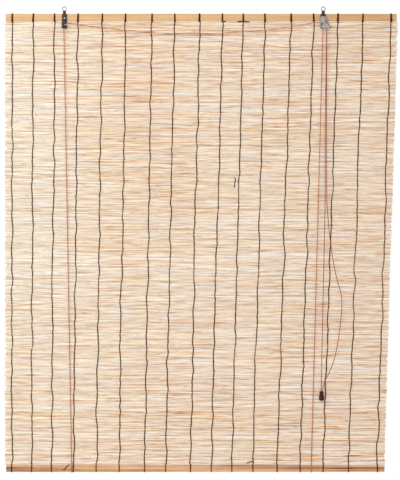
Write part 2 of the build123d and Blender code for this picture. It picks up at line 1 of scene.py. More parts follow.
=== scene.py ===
"""Dresses the reed roll-up blind: reeds, stitch threads, cords, canes, hangers and tassel.

Lengths are in metres. X runs to the right as seen from the front, Y away from the viewer, Z up.
"""

import json
import logging
import math
from dataclasses import dataclass, field
from enum import Enum
from typing import Any, Iterable, Optional, Sequence, Union

import bmesh
import bpy
import mathutils
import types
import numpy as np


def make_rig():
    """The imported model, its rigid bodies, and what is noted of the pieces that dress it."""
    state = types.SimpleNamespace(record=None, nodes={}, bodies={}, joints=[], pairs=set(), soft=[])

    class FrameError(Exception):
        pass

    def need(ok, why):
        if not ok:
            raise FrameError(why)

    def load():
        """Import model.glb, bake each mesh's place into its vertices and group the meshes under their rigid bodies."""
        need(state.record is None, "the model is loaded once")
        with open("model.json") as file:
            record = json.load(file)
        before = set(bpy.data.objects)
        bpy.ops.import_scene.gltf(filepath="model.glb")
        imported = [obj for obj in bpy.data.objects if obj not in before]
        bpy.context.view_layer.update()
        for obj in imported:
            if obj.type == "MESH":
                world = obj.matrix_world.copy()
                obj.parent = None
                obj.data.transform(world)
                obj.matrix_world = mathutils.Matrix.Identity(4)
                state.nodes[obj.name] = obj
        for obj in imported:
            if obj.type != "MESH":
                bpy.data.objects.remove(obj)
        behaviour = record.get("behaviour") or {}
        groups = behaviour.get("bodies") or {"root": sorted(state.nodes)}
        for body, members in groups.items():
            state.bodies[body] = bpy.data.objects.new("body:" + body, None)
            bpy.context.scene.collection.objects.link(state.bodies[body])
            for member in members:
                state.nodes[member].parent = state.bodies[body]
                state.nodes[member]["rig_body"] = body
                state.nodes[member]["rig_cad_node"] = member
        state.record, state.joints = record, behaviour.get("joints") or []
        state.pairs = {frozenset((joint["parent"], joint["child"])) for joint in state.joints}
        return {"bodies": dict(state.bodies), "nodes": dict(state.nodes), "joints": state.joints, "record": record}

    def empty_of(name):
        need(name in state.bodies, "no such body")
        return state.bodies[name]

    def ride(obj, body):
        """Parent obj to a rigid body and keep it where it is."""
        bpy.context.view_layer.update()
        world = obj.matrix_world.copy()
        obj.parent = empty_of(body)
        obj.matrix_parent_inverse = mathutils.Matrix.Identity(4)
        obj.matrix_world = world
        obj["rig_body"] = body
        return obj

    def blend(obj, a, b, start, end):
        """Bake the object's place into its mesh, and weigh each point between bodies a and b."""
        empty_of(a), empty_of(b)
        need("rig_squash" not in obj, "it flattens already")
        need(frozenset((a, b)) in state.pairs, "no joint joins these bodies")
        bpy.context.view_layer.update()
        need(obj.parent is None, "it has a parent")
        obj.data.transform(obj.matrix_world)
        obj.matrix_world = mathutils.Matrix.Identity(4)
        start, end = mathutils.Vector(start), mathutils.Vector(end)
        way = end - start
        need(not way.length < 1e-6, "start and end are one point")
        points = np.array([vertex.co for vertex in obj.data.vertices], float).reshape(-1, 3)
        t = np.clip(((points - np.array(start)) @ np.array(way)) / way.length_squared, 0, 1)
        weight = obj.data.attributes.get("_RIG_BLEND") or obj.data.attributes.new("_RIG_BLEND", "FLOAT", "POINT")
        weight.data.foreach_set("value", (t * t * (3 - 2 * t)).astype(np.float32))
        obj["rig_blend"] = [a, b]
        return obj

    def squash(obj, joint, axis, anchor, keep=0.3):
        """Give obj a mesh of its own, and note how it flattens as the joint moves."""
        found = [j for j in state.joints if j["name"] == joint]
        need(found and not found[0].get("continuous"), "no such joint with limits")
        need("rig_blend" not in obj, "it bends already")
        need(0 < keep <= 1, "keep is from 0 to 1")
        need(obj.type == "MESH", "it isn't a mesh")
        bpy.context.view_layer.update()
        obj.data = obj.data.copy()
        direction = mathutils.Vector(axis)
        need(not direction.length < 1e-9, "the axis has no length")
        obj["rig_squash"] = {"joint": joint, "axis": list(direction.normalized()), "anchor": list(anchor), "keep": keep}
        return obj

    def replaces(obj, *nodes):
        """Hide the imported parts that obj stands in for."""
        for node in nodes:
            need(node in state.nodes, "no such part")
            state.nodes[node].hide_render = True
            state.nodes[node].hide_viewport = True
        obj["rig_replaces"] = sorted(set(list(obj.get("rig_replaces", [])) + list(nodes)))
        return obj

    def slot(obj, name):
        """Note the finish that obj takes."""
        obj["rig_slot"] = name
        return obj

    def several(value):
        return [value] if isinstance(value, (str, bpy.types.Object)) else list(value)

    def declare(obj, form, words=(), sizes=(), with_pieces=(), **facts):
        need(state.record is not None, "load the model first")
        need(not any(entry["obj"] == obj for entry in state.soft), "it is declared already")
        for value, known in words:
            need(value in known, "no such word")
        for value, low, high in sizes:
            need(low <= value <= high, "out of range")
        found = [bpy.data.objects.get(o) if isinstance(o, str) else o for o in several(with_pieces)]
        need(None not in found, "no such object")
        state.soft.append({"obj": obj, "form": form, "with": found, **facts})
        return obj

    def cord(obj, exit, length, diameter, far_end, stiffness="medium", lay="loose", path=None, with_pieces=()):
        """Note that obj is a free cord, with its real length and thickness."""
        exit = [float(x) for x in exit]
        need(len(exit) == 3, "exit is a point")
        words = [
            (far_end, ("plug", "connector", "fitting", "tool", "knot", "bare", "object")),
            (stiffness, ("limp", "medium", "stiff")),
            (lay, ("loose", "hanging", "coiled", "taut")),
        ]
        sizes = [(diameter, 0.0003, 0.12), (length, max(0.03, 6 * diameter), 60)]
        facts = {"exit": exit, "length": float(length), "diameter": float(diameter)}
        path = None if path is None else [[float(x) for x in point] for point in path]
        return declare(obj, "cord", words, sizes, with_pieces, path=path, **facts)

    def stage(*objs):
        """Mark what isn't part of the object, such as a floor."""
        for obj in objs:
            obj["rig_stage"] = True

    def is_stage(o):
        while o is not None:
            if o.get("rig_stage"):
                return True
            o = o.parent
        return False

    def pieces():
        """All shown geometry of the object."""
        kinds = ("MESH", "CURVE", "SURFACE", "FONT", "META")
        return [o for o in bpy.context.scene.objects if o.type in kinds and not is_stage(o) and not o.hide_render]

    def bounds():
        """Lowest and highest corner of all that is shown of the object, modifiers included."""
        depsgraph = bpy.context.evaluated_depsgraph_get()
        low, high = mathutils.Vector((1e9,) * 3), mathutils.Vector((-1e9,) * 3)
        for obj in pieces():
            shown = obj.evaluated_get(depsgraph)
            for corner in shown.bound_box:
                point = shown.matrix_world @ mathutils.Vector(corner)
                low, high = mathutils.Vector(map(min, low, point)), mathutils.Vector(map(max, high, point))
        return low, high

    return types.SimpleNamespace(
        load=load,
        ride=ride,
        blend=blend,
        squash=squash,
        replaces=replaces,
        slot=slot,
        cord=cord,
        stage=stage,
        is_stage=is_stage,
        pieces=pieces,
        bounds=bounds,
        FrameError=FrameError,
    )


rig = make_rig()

Piece = bpy.types.Object
Inputs = dict[Any, Any]
Point = tuple[float, float, float]
Route = tuple[Point, ...]
Range = tuple[float, ...]
Colour = tuple[float, float, float, float]
LOG = logging.getLogger("reed_blind")

# X of each stitch thread at the head and at the foot of the mat, from the left.
THREAD_HEADS = (-0.4644, -0.4107, -0.3562, -0.2961, -0.234, -0.1747, -0.1069, -0.0486, 0.0145,
                0.0731, 0.1265, 0.182, 0.249, 0.3065, 0.3687, 0.4326, 0.5047)
THREAD_FEET = (-0.4664, -0.4153, -0.3647, -0.3084, -0.2501, -0.191, -0.1261, -0.0724, -0.0087,
               0.0445, 0.0971, 0.1511, 0.2132, 0.272, 0.3308, 0.3958, 0.4697)
MAT_Y = 0.0063
MAT_TOP = -0.0313
MAT_FOOT = -1.1638
LIFT_TRAVEL = 1.08
REEDS = 300
WELD = 1e-6
WHITE = (1.0, 1.0, 1.0, 1.0)


class Body(Enum):
    """The moving groups of the blind."""

    HEAD = "head"
    FOOT = "foot"
    TASSEL = "tassel"


class Slot(Enum):
    """The finishes that the record names."""

    REED = "reed"
    CANE = "cane"
    TASSEL_WOOD = "tassel_wood"
    THREAD = "thread"
    CORD = "cord"
    PLATED_STEEL = "plated_steel"
    DARK_PLATE = "dark_plate"
    ZINC = "zinc"


def srgb(red: int, green: int, blue: int) -> Colour:
    """Turns a colour as it is seen on screen into the values that a shader takes.

    Args:
        red: red, from 0 to 255.
        green: green, from 0 to 255.
        blue: blue, from 0 to 255.

    Returns:
        The linear colour, with full cover.
    """
    linear = []
    for part in (red, green, blue):
        share = part / 255
        linear.append(share / 12.92 if share <= 0.04045 else ((share + 0.055) / 1.055) ** 2.4)
    return (linear[0], linear[1], linear[2], 1.0)


class Wire:
    """What a node gives out. Plain sums can be written with wires that carry numbers."""

    def __init__(self, graph: "Graph", socket: bpy.types.NodeSocket) -> None:
        """Takes the tree and the output's socket."""
        self.graph = graph
        self.socket = socket

    def __add__(self, other: Any) -> "Wire":
        """Adds a number or a wire."""
        return self.graph.math("ADD", self, other)

    def __sub__(self, other: Any) -> "Wire":
        """Takes a number or a wire away."""
        return self.graph.math("SUBTRACT", self, other)

    def __rsub__(self, other: float) -> "Wire":
        """Takes this wire away from a number."""
        return self.graph.math("SUBTRACT", other, self)

    def __mul__(self, other: Any) -> "Wire":
        """Multiplies by a number or a wire."""
        return self.graph.math("MULTIPLY", self, other)

    def __truediv__(self, other: Any) -> "Wire":
        """Divides by a number or a wire."""
        return self.graph.math("DIVIDE", self, other)

    __radd__ = __add__
    __rmul__ = __mul__


class Graph:
    """A node tree with short calls that add nodes and link them."""

    def __init__(self, tree: bpy.types.NodeTree) -> None:
        """Takes the tree to add to."""
        self.tree = tree

    def add(self, kind: str, inputs: Optional[Inputs] = None, **settings: Any) -> bpy.types.Node:
        """Adds one node.

        Args:
            kind: the node's type.
            inputs: wires to link or values to set, by the input's name or number.
            settings: the node's own properties.

        Returns:
            The new node.
        """
        node = self.tree.nodes.new(kind)
        for name, value in settings.items():
            setattr(node, name, value)
        self.fill(node, inputs or {})
        return node

    def wire(self, kind: str, inputs: Optional[Inputs] = None, output: Union[int, str] = 0,
             **settings: Any) -> Wire:
        """Adds one node and gives the wire of one of its outputs, by the output's number or name."""
        return Wire(self, self.add(kind, inputs, **settings).outputs[output])

    def parts(self, node: bpy.types.Node, *outputs: Union[int, str]) -> tuple[Wire, ...]:
        """Gives the wires of several outputs of a node."""
        return tuple(Wire(self, node.outputs[output]) for output in outputs)

    def fill(self, node: bpy.types.Node, inputs: Inputs) -> None:
        """Links or sets several inputs of a node."""
        for key, value in inputs.items():
            self.feed(node.inputs[key], value)

    def feed(self, socket: bpy.types.NodeSocket, value: Any) -> None:
        """Links a wire to an input, or sets the input's own value.

        Args:
            socket: the input.
            value: the wire or the value.
        """
        if isinstance(value, Wire):
            self.tree.links.new(value.socket, socket)
        else:
            socket.default_value = value

    def math(self, operation: str, first: Any, second: Any = 0.0) -> Wire:
        """Works out one sum on one or two numbers."""
        return self.wire("ShaderNodeMath", {0: first, 1: second}, operation=operation)

    def xyz(self, x: Any, y: Any, z: Any) -> Wire:
        """Joins three numbers to a vector."""
        return self.wire("ShaderNodeCombineXYZ", {0: x, 1: y, 2: z})

    def split(self, vector: Wire) -> tuple[Wire, ...]:
        """Gives the three numbers of a vector."""
        return self.parts(self.add("ShaderNodeSeparateXYZ", {0: vector}), 0, 1, 2)

    def noise(self, vector: Wire, scale: float = 1.0, detail: float = 2.0) -> Wire:
        """Adds a soft noise, of about 0 to 1."""
        return self.wire("ShaderNodeTexNoise", {"Vector": vector, "Scale": scale, "Detail": detail})

    def spread(self, value: Wire, low: float, high: float, to_low: float = 0.0,
               to_high: float = 1.0) -> Wire:
        """Maps the range from low to high to another one, held at its ends."""
        inputs = {"Value": value, 1: low, 2: high, 3: to_low, 4: to_high}
        return self.wire("ShaderNodeMapRange", inputs, clamp=True)

    def level(self, noise: Wire, low: float, high: float) -> Wire:
        """Maps the range that a noise mostly keeps to, to another one."""
        return self.spread(noise, 0.3, 0.7, low, high)

    def ramp(self, value: Wire, stops: Sequence[tuple[float, Colour]]) -> Wire:
        """Turns a number into a colour by a row of stops.

        Args:
            value: the number.
            stops: the place and the colour of each stop.

        Returns:
            The colour's wire.
        """
        node = self.add("ShaderNodeValToRGB", {0: value})
        row = node.color_ramp.elements
        while len(row) < len(stops):
            row.new(1.0)
        for element, (place, colour) in zip(row, stops):
            element.position = place
            element.color = colour
        return Wire(self, node.outputs[0])

    def mottled(self, noise: Wire, dark: Colour, light: Colour) -> Wire:
        """Gives the colour of a mottled metal."""
        return self.ramp(noise, ((0.35, dark), (0.62, light)))

    def mix(self, share: Any, first: Any, second: Any, blend: str = "MIX") -> Wire:
        """Mixes two colours."""
        inputs = {0: share, 6: first, 7: second}
        return self.wire("ShaderNodeMix", inputs, 2, data_type="RGBA", blend_type=blend)

    def times(self, first: Any, second: Any) -> Wire:
        """Multiplies two colours."""
        return self.mix(1.0, first, second, "MULTIPLY")

    def along(self, output: str = "Factor") -> Wire:
        """Gives how far along a curve a point lies, as a share or as a length."""
        return self.wire("GeometryNodeSplineParameter", output=output)

    def resample(self, curve: Wire, rule: str, amount: Any) -> Wire:
        """Puts points along a curve, by the rule Count or Length."""
        return self.wire("GeometryNodeResampleCurve", {"Curve": curve, rule: amount}, mode=rule.upper())

    def copies(self, curve: Wire, amount: Any) -> tuple[Wire, ...]:
        """Gives copies of a curve, and the number of each.

        Args:
            curve: the curve.
            amount: how many copies there are.

        Returns:
            The copies and their numbers.
        """
        inputs = {"Geometry": curve, "Amount": amount}
        node = self.add("GeometryNodeDuplicateElements", inputs, domain="SPLINE")
        return self.parts(node, "Geometry", "Duplicate Index")

    def put(self, shape: Wire, rule: str, vector: Wire) -> Wire:
        """Moves the points of a shape, by the rule Position or Offset."""
        return self.wire("GeometryNodeSetPosition", {"Geometry": shape, rule: vector})

    def ring(self, sides: Any, radius: Any = 1.0) -> Wire:
        """Gives a circle."""
        return self.wire("GeometryNodeCurvePrimitiveCircle", {"Resolution": sides, "Radius": radius})

    def tube(self, line: Wire, ring: Wire, caps: bool = True, own_radius: bool = False) -> Wire:
        """Draws a ring along a line.

        Args:
            line: the line.
            ring: the ring.
            caps: whether the ends are closed.
            own_radius: whether the ring is scaled by the radius that the line's points have.

        Returns:
            The mesh.
        """
        inputs = {"Curve": line, "Profile Curve": ring, "Fill Caps": caps}
        node = self.add("GeometryNodeCurveToMesh", inputs)
        if own_radius and "Scale" in node.inputs:
            self.feed(node.inputs["Scale"], self.wire("GeometryNodeInputRadius"))
        return Wire(self, node.outputs[0])


@dataclass(frozen=True)
class Streaks:
    """A noise that runs along the reeds: its scale along them, its step from one to the next, its layer."""

    scale: float
    step: float
    layer: float
    reach: float = 1.0
    detail: float = 1.5

    def noise(self, along: Wire, reed: Wire) -> Wire:
        """Gives the noise, of about 0 to 1."""
        graph = along.graph
        return graph.noise(graph.xyz(along * self.scale, reed * self.step, self.layer), detail=self.detail)

    def swing(self, along: Wire, reed: Wire) -> Wire:
        """Gives how far the noise lies from its middle, times the reach."""
        return (self.noise(along, reed) - 0.5) * self.reach

    def against(self, along: Wire, reed: Wire) -> Wire:
        """Gives a swing that two neighbours take opposite ways, so that they stand apart.

        Args:
            along: the way along the reed.
            reed: the reed's number.

        Returns:
            The swing's wire.
        """
        half = reed * 0.5
        pair = reed.graph.math("FLOOR", half)
        return self.swing(along, pair) * (1.0 - (half - pair) * 4.0)


@dataclass
class Finish:
    """A material that is made once and then handed out."""

    title: str
    made: Optional[bpy.types.Material] = field(default=None, init=False)

    def material(self) -> bpy.types.Material:
        """Gives the material, and makes it on the first call.

        Returns:
            The material.
        """
        if self.made is None:
            self.made = bpy.data.materials.new(self.title)
            self.made.use_nodes = True
            graph = Graph(self.made.node_tree)
            graph.fill(self.made.node_tree.nodes["Principled BSDF"], self.paint(graph))
        return self.made

    def paint(self, graph: Graph) -> dict[str, Any]:
        """Adds the finish's pattern and gives what the shader's inputs take from it."""
        raise NotImplementedError

    @staticmethod
    def place(graph: Graph) -> tuple[Wire, ...]:
        """Gives the place on the piece, and then its X, Y and Z."""
        spot = graph.wire("ShaderNodeTexCoord", output="Object")
        return (spot, *graph.split(spot))

    @staticmethod
    def relief(graph: Graph, height: Wire, strength: float, distance: float = 0.0002) -> Wire:
        """Gives the normal of a fine relief."""
        return graph.wire("ShaderNodeBump", {"Strength": strength, "Distance": distance, "Height": height})


@dataclass
class ReedFinish(Finish):
    """Dried reed: pale straw, with warm streaks and darker flecks along each reed.

    A range of X or Z comes with how much the tone or the share changes over it.
    """

    tones: Streaks = Streaks(15.0, 5.37, 5.37, 1.15)
    flecks: Streaks = Streaks(40.0, 3.11, 3.11, 0.5)
    shades: Streaks = Streaks(17.0, 9.41, 9.41, 1.20)
    stains: Streaks = Streaks(48.0, 7.73, 7.73)
    # The next two choose which reeds get the painted shade underneath and which get the painted highlight on top.
    underside_shades: Streaks = Streaks(15.0, 6.27, 6.27)
    top_highlights: Streaks = Streaks(15.0, 8.83, 8.83)
    grain: Point = (60.0, 3000.0, 3000.0)
    patches: float = 3.4
    own_tone: float = 0.08
    own_shade: float = 0.06
    patch_tone: float = 0.42
    channels: Point = (0.65, 1.0, 1.25)
    left_paler: Range = (-0.48, -0.15, -0.15, 0.0)
    foot_deeper: Range = (-0.70, -1.16, 0.0, 0.11)
    right_tinted: Range = (-0.40, 0.45, 0.0, 0.6)
    stained: Range = (0.62, 0.80, 0.0, 0.5)
    # How far down or up the normal points where the painted shade and the painted highlight fall.
    below: Range = (-0.40, -0.75)
    above: Range = (0.30, 0.70)

    def paint(self, graph: Graph) -> dict[str, Any]:
        """Adds the streaks, which follow each reed by its own number.

        Args:
            graph: the tree to add to.

        Returns:
            What each of the shader's inputs takes.
        """
        spot, x, y, z = self.place(graph)
        reed = graph.wire("ShaderNodeAttribute", output="Fac", attribute_name="reed")
        fine = (part * scale for part, scale in zip((x, y, z), self.grain))
        grain = graph.noise(graph.xyz(*fine), detail=3.0)
        tone = 0.5 + self.tones.against(x, reed + 1.0) + self.flecks.swing(x, reed)
        tone = tone + self.chance(reed) * self.own_tone
        tone = tone + (graph.noise(spot, self.patches, 1.0) - 0.5) * self.patch_tone
        tone = tone + graph.spread(x, *self.left_paler) + graph.spread(z, *self.foot_deeper)
        colour = graph.ramp(tone, (
            (0.12, srgb(247, 237, 216)), (0.30, srgb(246, 231, 204)), (0.50, srgb(243, 220, 187)),
            (0.66, srgb(240, 206, 164)), (0.80, srgb(230, 182, 133)), (0.93, srgb(208, 146, 100))))
        stain = graph.spread(self.stains.noise(x, reed), *self.stained)
        colour = graph.mix(stain, colour, srgb(158, 122, 92))
        # Darker streaks are warmer ones, so red swings less than blue.
        shade = 1.03 + self.shades.against(x, reed) + self.chance(reed + 0.37) * self.own_shade
        shade = shade * graph.level(grain, 0.94, 1.04)
        colour = graph.times(colour, graph.xyz(*((shade - 1.0) * part + 1.0 for part in self.channels)))
        # Painted shade and painted highlight: some reeds get a brown line on their underside, where they touch the
        # next, and others a bright line on their top, where light falls.
        facing = graph.split(graph.wire("ShaderNodeNewGeometry", output="Normal"))[2]
        # Painted shade on the underside of some reeds.
        painted_shade = graph.spread(self.underside_shades.noise(x, reed), 0.44, 0.62) * graph.spread(facing, *self.below)
        colour = graph.mix(painted_shade, colour, srgb(178, 84, 34))
        # Painted highlight on the top of some reeds.
        painted_highlight = graph.spread(self.top_highlights.noise(x, reed), 0.44, 0.60) * graph.spread(facing, *self.above)
        colour = graph.mix(painted_highlight, colour, srgb(254, 250, 242))
        # The mat turns greyer and darker towards the right.
        right_tint = graph.times(colour, srgb(241, 235, 234))
        colour = graph.mix(graph.spread(x, *self.right_tinted), colour, right_tint)
        return {"Base Color": colour, "Roughness": graph.level(grain, 0.5, 0.68),
                "Specular IOR Level": 0.1, "Normal": self.relief(graph, grain, 0.35)}

    @staticmethod
    def chance(reed: Wire) -> Wire:
        """Gives each reed a fixed random number, from -0.5 to 0.5."""
        return reed.graph.wire("ShaderNodeTexWhiteNoise", {"W": reed}, "Value", noise_dimensions="1D") - 0.5


@dataclass
class WoodFinish(Finish):
    """Wood whose grain runs along one way of the piece."""

    pale: Colour
    middle: Colour
    deep: Colour
    along: Point
    roughness: float
    gloss: float
    reach: float = 0.16
    right_tint: Optional[Colour] = None

    def paint(self, graph: Graph) -> dict[str, Any]:
        """Adds broad bands and fine pores, both drawn out along the grain.

        Args:
            graph: the tree to add to.

        Returns:
            What each of the shader's inputs takes.
        """
        _, x, y, z = self.place(graph)
        fine = [part * scale for part, scale in zip((x, y, z), self.along)]
        band = graph.noise(graph.xyz(*(part * 0.22 for part in fine)), detail=3.0)
        pore = graph.noise(graph.xyz(*fine), detail=4.0)
        colour = graph.ramp(band * 0.65 + pore * 0.35, (
            (0.5 - self.reach, self.pale), (0.5, self.middle), (0.5 + self.reach, self.deep)))
        # When a tint is given, the wood turns greyer and darker towards the right.
        if self.right_tint:
            colour = graph.mix(graph.spread(x, -0.27, 0.42), colour, graph.times(colour, self.right_tint))
        return {"Base Color": colour, "Specular IOR Level": self.gloss,
                "Roughness": graph.level(pore, self.roughness - 0.08, self.roughness + 0.1),
                "Normal": self.relief(graph, pore, 0.3)}


@dataclass
class FibreFinish(Finish):
    """Spun fibre: uneven colour, fine relief and a soft sheen."""

    light: Colour
    dark: Colour
    scale: float
    sheen: float
    gloss: float = 0.15

    def paint(self, graph: Graph) -> dict[str, Any]:
        """Adds patches of colour and a fine fuzz.

        Args:
            graph: the tree to add to.

        Returns:
            What each of the shader's inputs takes.
        """
        spot = self.place(graph)[0]
        fuzz = graph.noise(spot, 2600.0, 2.0)
        tone = graph.noise(spot, self.scale, 3.0) * 0.6 + fuzz * 0.4
        return {"Base Color": graph.ramp(tone, ((0.36, self.dark), (0.62, self.light))),
                "Roughness": graph.level(fuzz, 0.72, 0.92), "Specular IOR Level": self.gloss,
                "Sheen Weight": self.sheen, "Normal": self.relief(graph, fuzz, 0.4)}


@dataclass
class MetalFinish(Finish):
    """Metal with a mottled, slightly worn surface."""

    light: Colour
    dark: Colour
    metallic: float
    roughness: float
    along: Point
    spots: float = 320.0

    def paint(self, graph: Graph) -> dict[str, Any]:
        """Adds mottling to the colour and fine scratches to the gloss.

        Args:
            graph: the tree to add to.

        Returns:
            What each of the shader's inputs takes.
        """
        spot, *sides = self.place(graph)
        drawn = (part * scale for part, scale in zip(sides, self.along))
        scratch = graph.noise(graph.xyz(*drawn), detail=3.0)
        return {"Base Color": graph.mottled(graph.noise(spot, self.spots, 3.0), self.dark, self.light),
                "Roughness": graph.level(scratch, max(self.roughness - 0.1, 0.05), self.roughness + 0.14),
                "Metallic": self.metallic, "Normal": self.relief(graph, scratch, 0.12, 0.0001)}


@dataclass
class ScrewFinish(Finish):
    """Plated screws: bright on the left hanger, dark on the lock."""

    def paint(self, graph: Graph) -> dict[str, Any]:
        """Makes a screw darker by the side of the blind that it is on.

        Args:
            graph: the tree to add to.

        Returns:
            What each of the shader's inputs takes.
        """
        spot, x, _, _ = self.place(graph)
        mottle = graph.noise(spot, 500.0, 3.0)
        bright = graph.mottled(mottle, srgb(128, 124, 119), srgb(184, 180, 174))
        dark = graph.mottled(mottle, srgb(44, 40, 38), srgb(78, 73, 69))
        return {"Base Color": graph.mix(graph.spread(x, -0.01, 0.01), bright, dark), "Metallic": 1.0,
                "Roughness": graph.level(mottle, 0.2, 0.38),
                "Normal": self.relief(graph, mottle, 0.1, 0.0001)}


class Finishes:
    """Every finish of the blind."""

    def __init__(self) -> None:
        """Names the finishes. Each one is made when it is first asked for."""
        self.reed = ReedFinish("dried_reed")
        self.rail = WoodFinish(
            "planed_pine", srgb(238, 203, 160), srgb(230, 190, 145), srgb(216, 170, 123),
            (7.0, 300.0, 300.0), 0.6, 0.3, right_tint=srgb(226, 215, 202))
        self.upper_cane = WoodFinish(
            "upper_foot_cane", srgb(236, 194, 144), srgb(224, 170, 114), srgb(190, 126, 76),
            (13.0, 300.0, 300.0), 0.5, 0.35, 0.12)
        self.middle_cane = WoodFinish(
            "middle_foot_cane", srgb(235, 195, 136), srgb(214, 160, 100), srgb(136, 84, 44),
            (11.0, 260.0, 260.0), 0.5, 0.35, 0.10)
        self.lower_cane = WoodFinish(
            "lower_foot_cane", srgb(226, 179, 130), srgb(209, 153, 105), srgb(164, 104, 66),
            (14.0, 300.0, 300.0), 0.5, 0.35, 0.12)
        self.tassel = WoodFinish(
            "turned_dark_wood", srgb(92, 52, 30), srgb(66, 35, 20), srgb(40, 20, 12),
            (700.0, 700.0, 60.0), 0.42, 0.14)
        self.thread = FibreFinish("stitch_thread", srgb(96, 52, 18), srgb(44, 22, 6), 180.0, 0.0, 0.02)
        self.cord = FibreFinish("lift_cord", srgb(220, 138, 88), srgb(176, 96, 52), 120.0, 0.1)
        # The draw cords and their knot get a darker colour than the lift cords.
        self.darker_draw = FibreFinish("handled_cord", srgb(186, 88, 46), srgb(138, 54, 22), 120.0, 0.05)
        self.plated = MetalFinish(
            "plated_steel", srgb(158, 155, 150), srgb(104, 101, 97), 1.0, 0.24, (900.0, 900.0, 900.0))
        self.screw = ScrewFinish("hanger_screw")
        self.pulley = MetalFinish(
            "pulley_metal", srgb(190, 186, 178), srgb(146, 141, 134), 1.0, 0.34, (900.0, 200.0, 900.0))
        self.plate = MetalFinish(
            "dark_plate", srgb(52, 42, 37), srgb(30, 25, 23), 0.6, 0.38, (700.0, 700.0, 260.0))
        self.zinc = MetalFinish(
            "zinc_plate", srgb(140, 136, 134), srgb(84, 80, 78), 0.9, 0.34, (900.0, 900.0, 160.0), 120.0)


def link(name: str, data: bpy.types.ID) -> Piece:
    """Puts a mesh, a curve, a lamp or a camera in the scene and gives its object.

    Args:
        name: the object's name.
        data: what it holds.

    Returns:
        The object.
    """
    holder = bpy.data.objects.new(name, data)
    bpy.context.scene.collection.objects.link(holder)
    return holder


def evaluated_mesh(source: Piece) -> bpy.types.Mesh:
    """Gives what an object shows, with its modifiers, as a plain mesh.

    Args:
        source: the object to read.

    Returns:
        The mesh.
    """
    graph = bpy.context.evaluated_depsgraph_get()
    return bpy.data.meshes.new_from_object(source.evaluated_get(graph), preserve_all_data_layers=True,
                                           depsgraph=graph)


def baked(source: Piece, name: str) -> Piece:
    """Turns an object with modifiers into a plain piece.

    Args:
        source: the object to turn. It is removed.
        name: the piece's name.

    Returns:
        The plain piece.
    """
    mesh = evaluated_mesh(source)
    bpy.data.objects.remove(source)
    mesh.name = name
    return link(name, mesh)


def dress(piece: Piece, finish: Finish, slot: Slot) -> Piece:
    """Gives a piece its only material and its slot, logs it and gives it back.

    Args:
        piece: the piece.
        finish: its finish.
        slot: the finish's slot.

    Returns:
        The same piece.
    """
    piece.data.materials.clear()
    piece.data.materials.append(finish.material())
    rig.slot(piece, slot.value)
    LOG.info("%s: %d faces", piece.name, len(piece.data.polygons))
    return piece


def gather(piece: Piece) -> None:
    """Lets a piece on the mat shorten upwards as the foot rises.

    Args:
        piece: the piece.
    """
    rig.ride(piece, Body.HEAD.value)
    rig.squash(piece, "lift", axis=(0, 0, 1), anchor=(0, MAT_Y, MAT_TOP),
              keep=1 - LIFT_TRAVEL / (MAT_TOP - MAT_FOOT))


def smooth_line(name: str, route: Sequence[Point], resolution: int) -> Piece:
    """Gives a smooth curve that has the route's points as its control points.

    Args:
        name: the curve's name.
        route: its control points.
        resolution: how many steps it has between two of them.

    Returns:
        The curve's object.
    """
    data = bpy.data.curves.new(name, "CURVE")
    data.dimensions = "3D"
    data.resolution_u = resolution
    spline = data.splines.new("NURBS")
    spline.points.add(len(route) - 1)
    for point, place in zip(spline.points, route):
        point.co = (*place, 1.0)
    spline.order_u = min(3, len(route))
    spline.use_endpoint_u = True
    return link(name + "_line", data)


class Rule:
    """A Geometry Nodes tree with named inputs for its sizes."""

    KINDS = {int: "NodeSocketInt", float: "NodeSocketFloat", tuple: "NodeSocketVector"}

    def __init__(self, name: str, sizes: dict[str, Any]) -> None:
        """Makes the tree with its inputs.

        Args:
            name: the tree's name.
            sizes: the value of each input, by its name.
        """
        self.tree = bpy.data.node_groups.new(name, "GeometryNodeTree")
        self.graph = Graph(self.tree)
        face = self.tree.interface
        for way in ("OUTPUT", "INPUT"):
            face.new_socket("Geometry", in_out=way, socket_type="NodeSocketGeometry")
        self.values: dict[str, Any] = {}
        for label, value in sizes.items():
            socket = face.new_socket(label, in_out="INPUT", socket_type=self.KINDS[type(value)])
            self.values[socket.identifier] = value
        self.start = self.graph.add("NodeGroupInput")
        self.stop = self.graph.add("NodeGroupOutput")

    def size(self, label: str) -> Wire:
        """Gives the wire of a named input."""
        return Wire(self.graph, self.start.outputs[label])

    def close(self, shape: Wire, finish: Finish) -> None:
        """Ends the tree with real meshes, smooth shading and a material.

        Args:
            shape: the finished shape's wire.
            finish: its finish.
        """
        graph = self.graph
        shape = graph.wire("GeometryNodeRealizeInstances", {0: shape})
        shape = graph.wire("GeometryNodeSetShadeSmooth", {"Geometry": shape, "Shade Smooth": True})
        shape = graph.wire("GeometryNodeSetMaterial", {"Geometry": shape, "Material": finish.material()})
        graph.feed(self.stop.inputs[0], shape)

    def apply(self, holder: Piece, name: str) -> Piece:
        """Runs the tree on an object and turns the result into a plain piece.

        Args:
            holder: the object that the tree works on. It is removed.
            name: the piece's name.

        Returns:
            The plain piece.
        """
        modifier = holder.modifiers.new(name, "NODES")
        modifier.node_group = self.tree
        for identifier, value in self.values.items():
            modifier[identifier] = value
        return baked(holder, name)


def bare_holder(name: str, points: Iterable[Point] = ()) -> Piece:
    """Gives an object of loose points, or of none, for a tree to work on.

    Args:
        name: the object's name.
        points: the places of its points.

    Returns:
        The object.
    """
    mesh = bpy.data.meshes.new(name)
    mesh.from_pydata(list(points), [], [])
    return link(name, mesh)


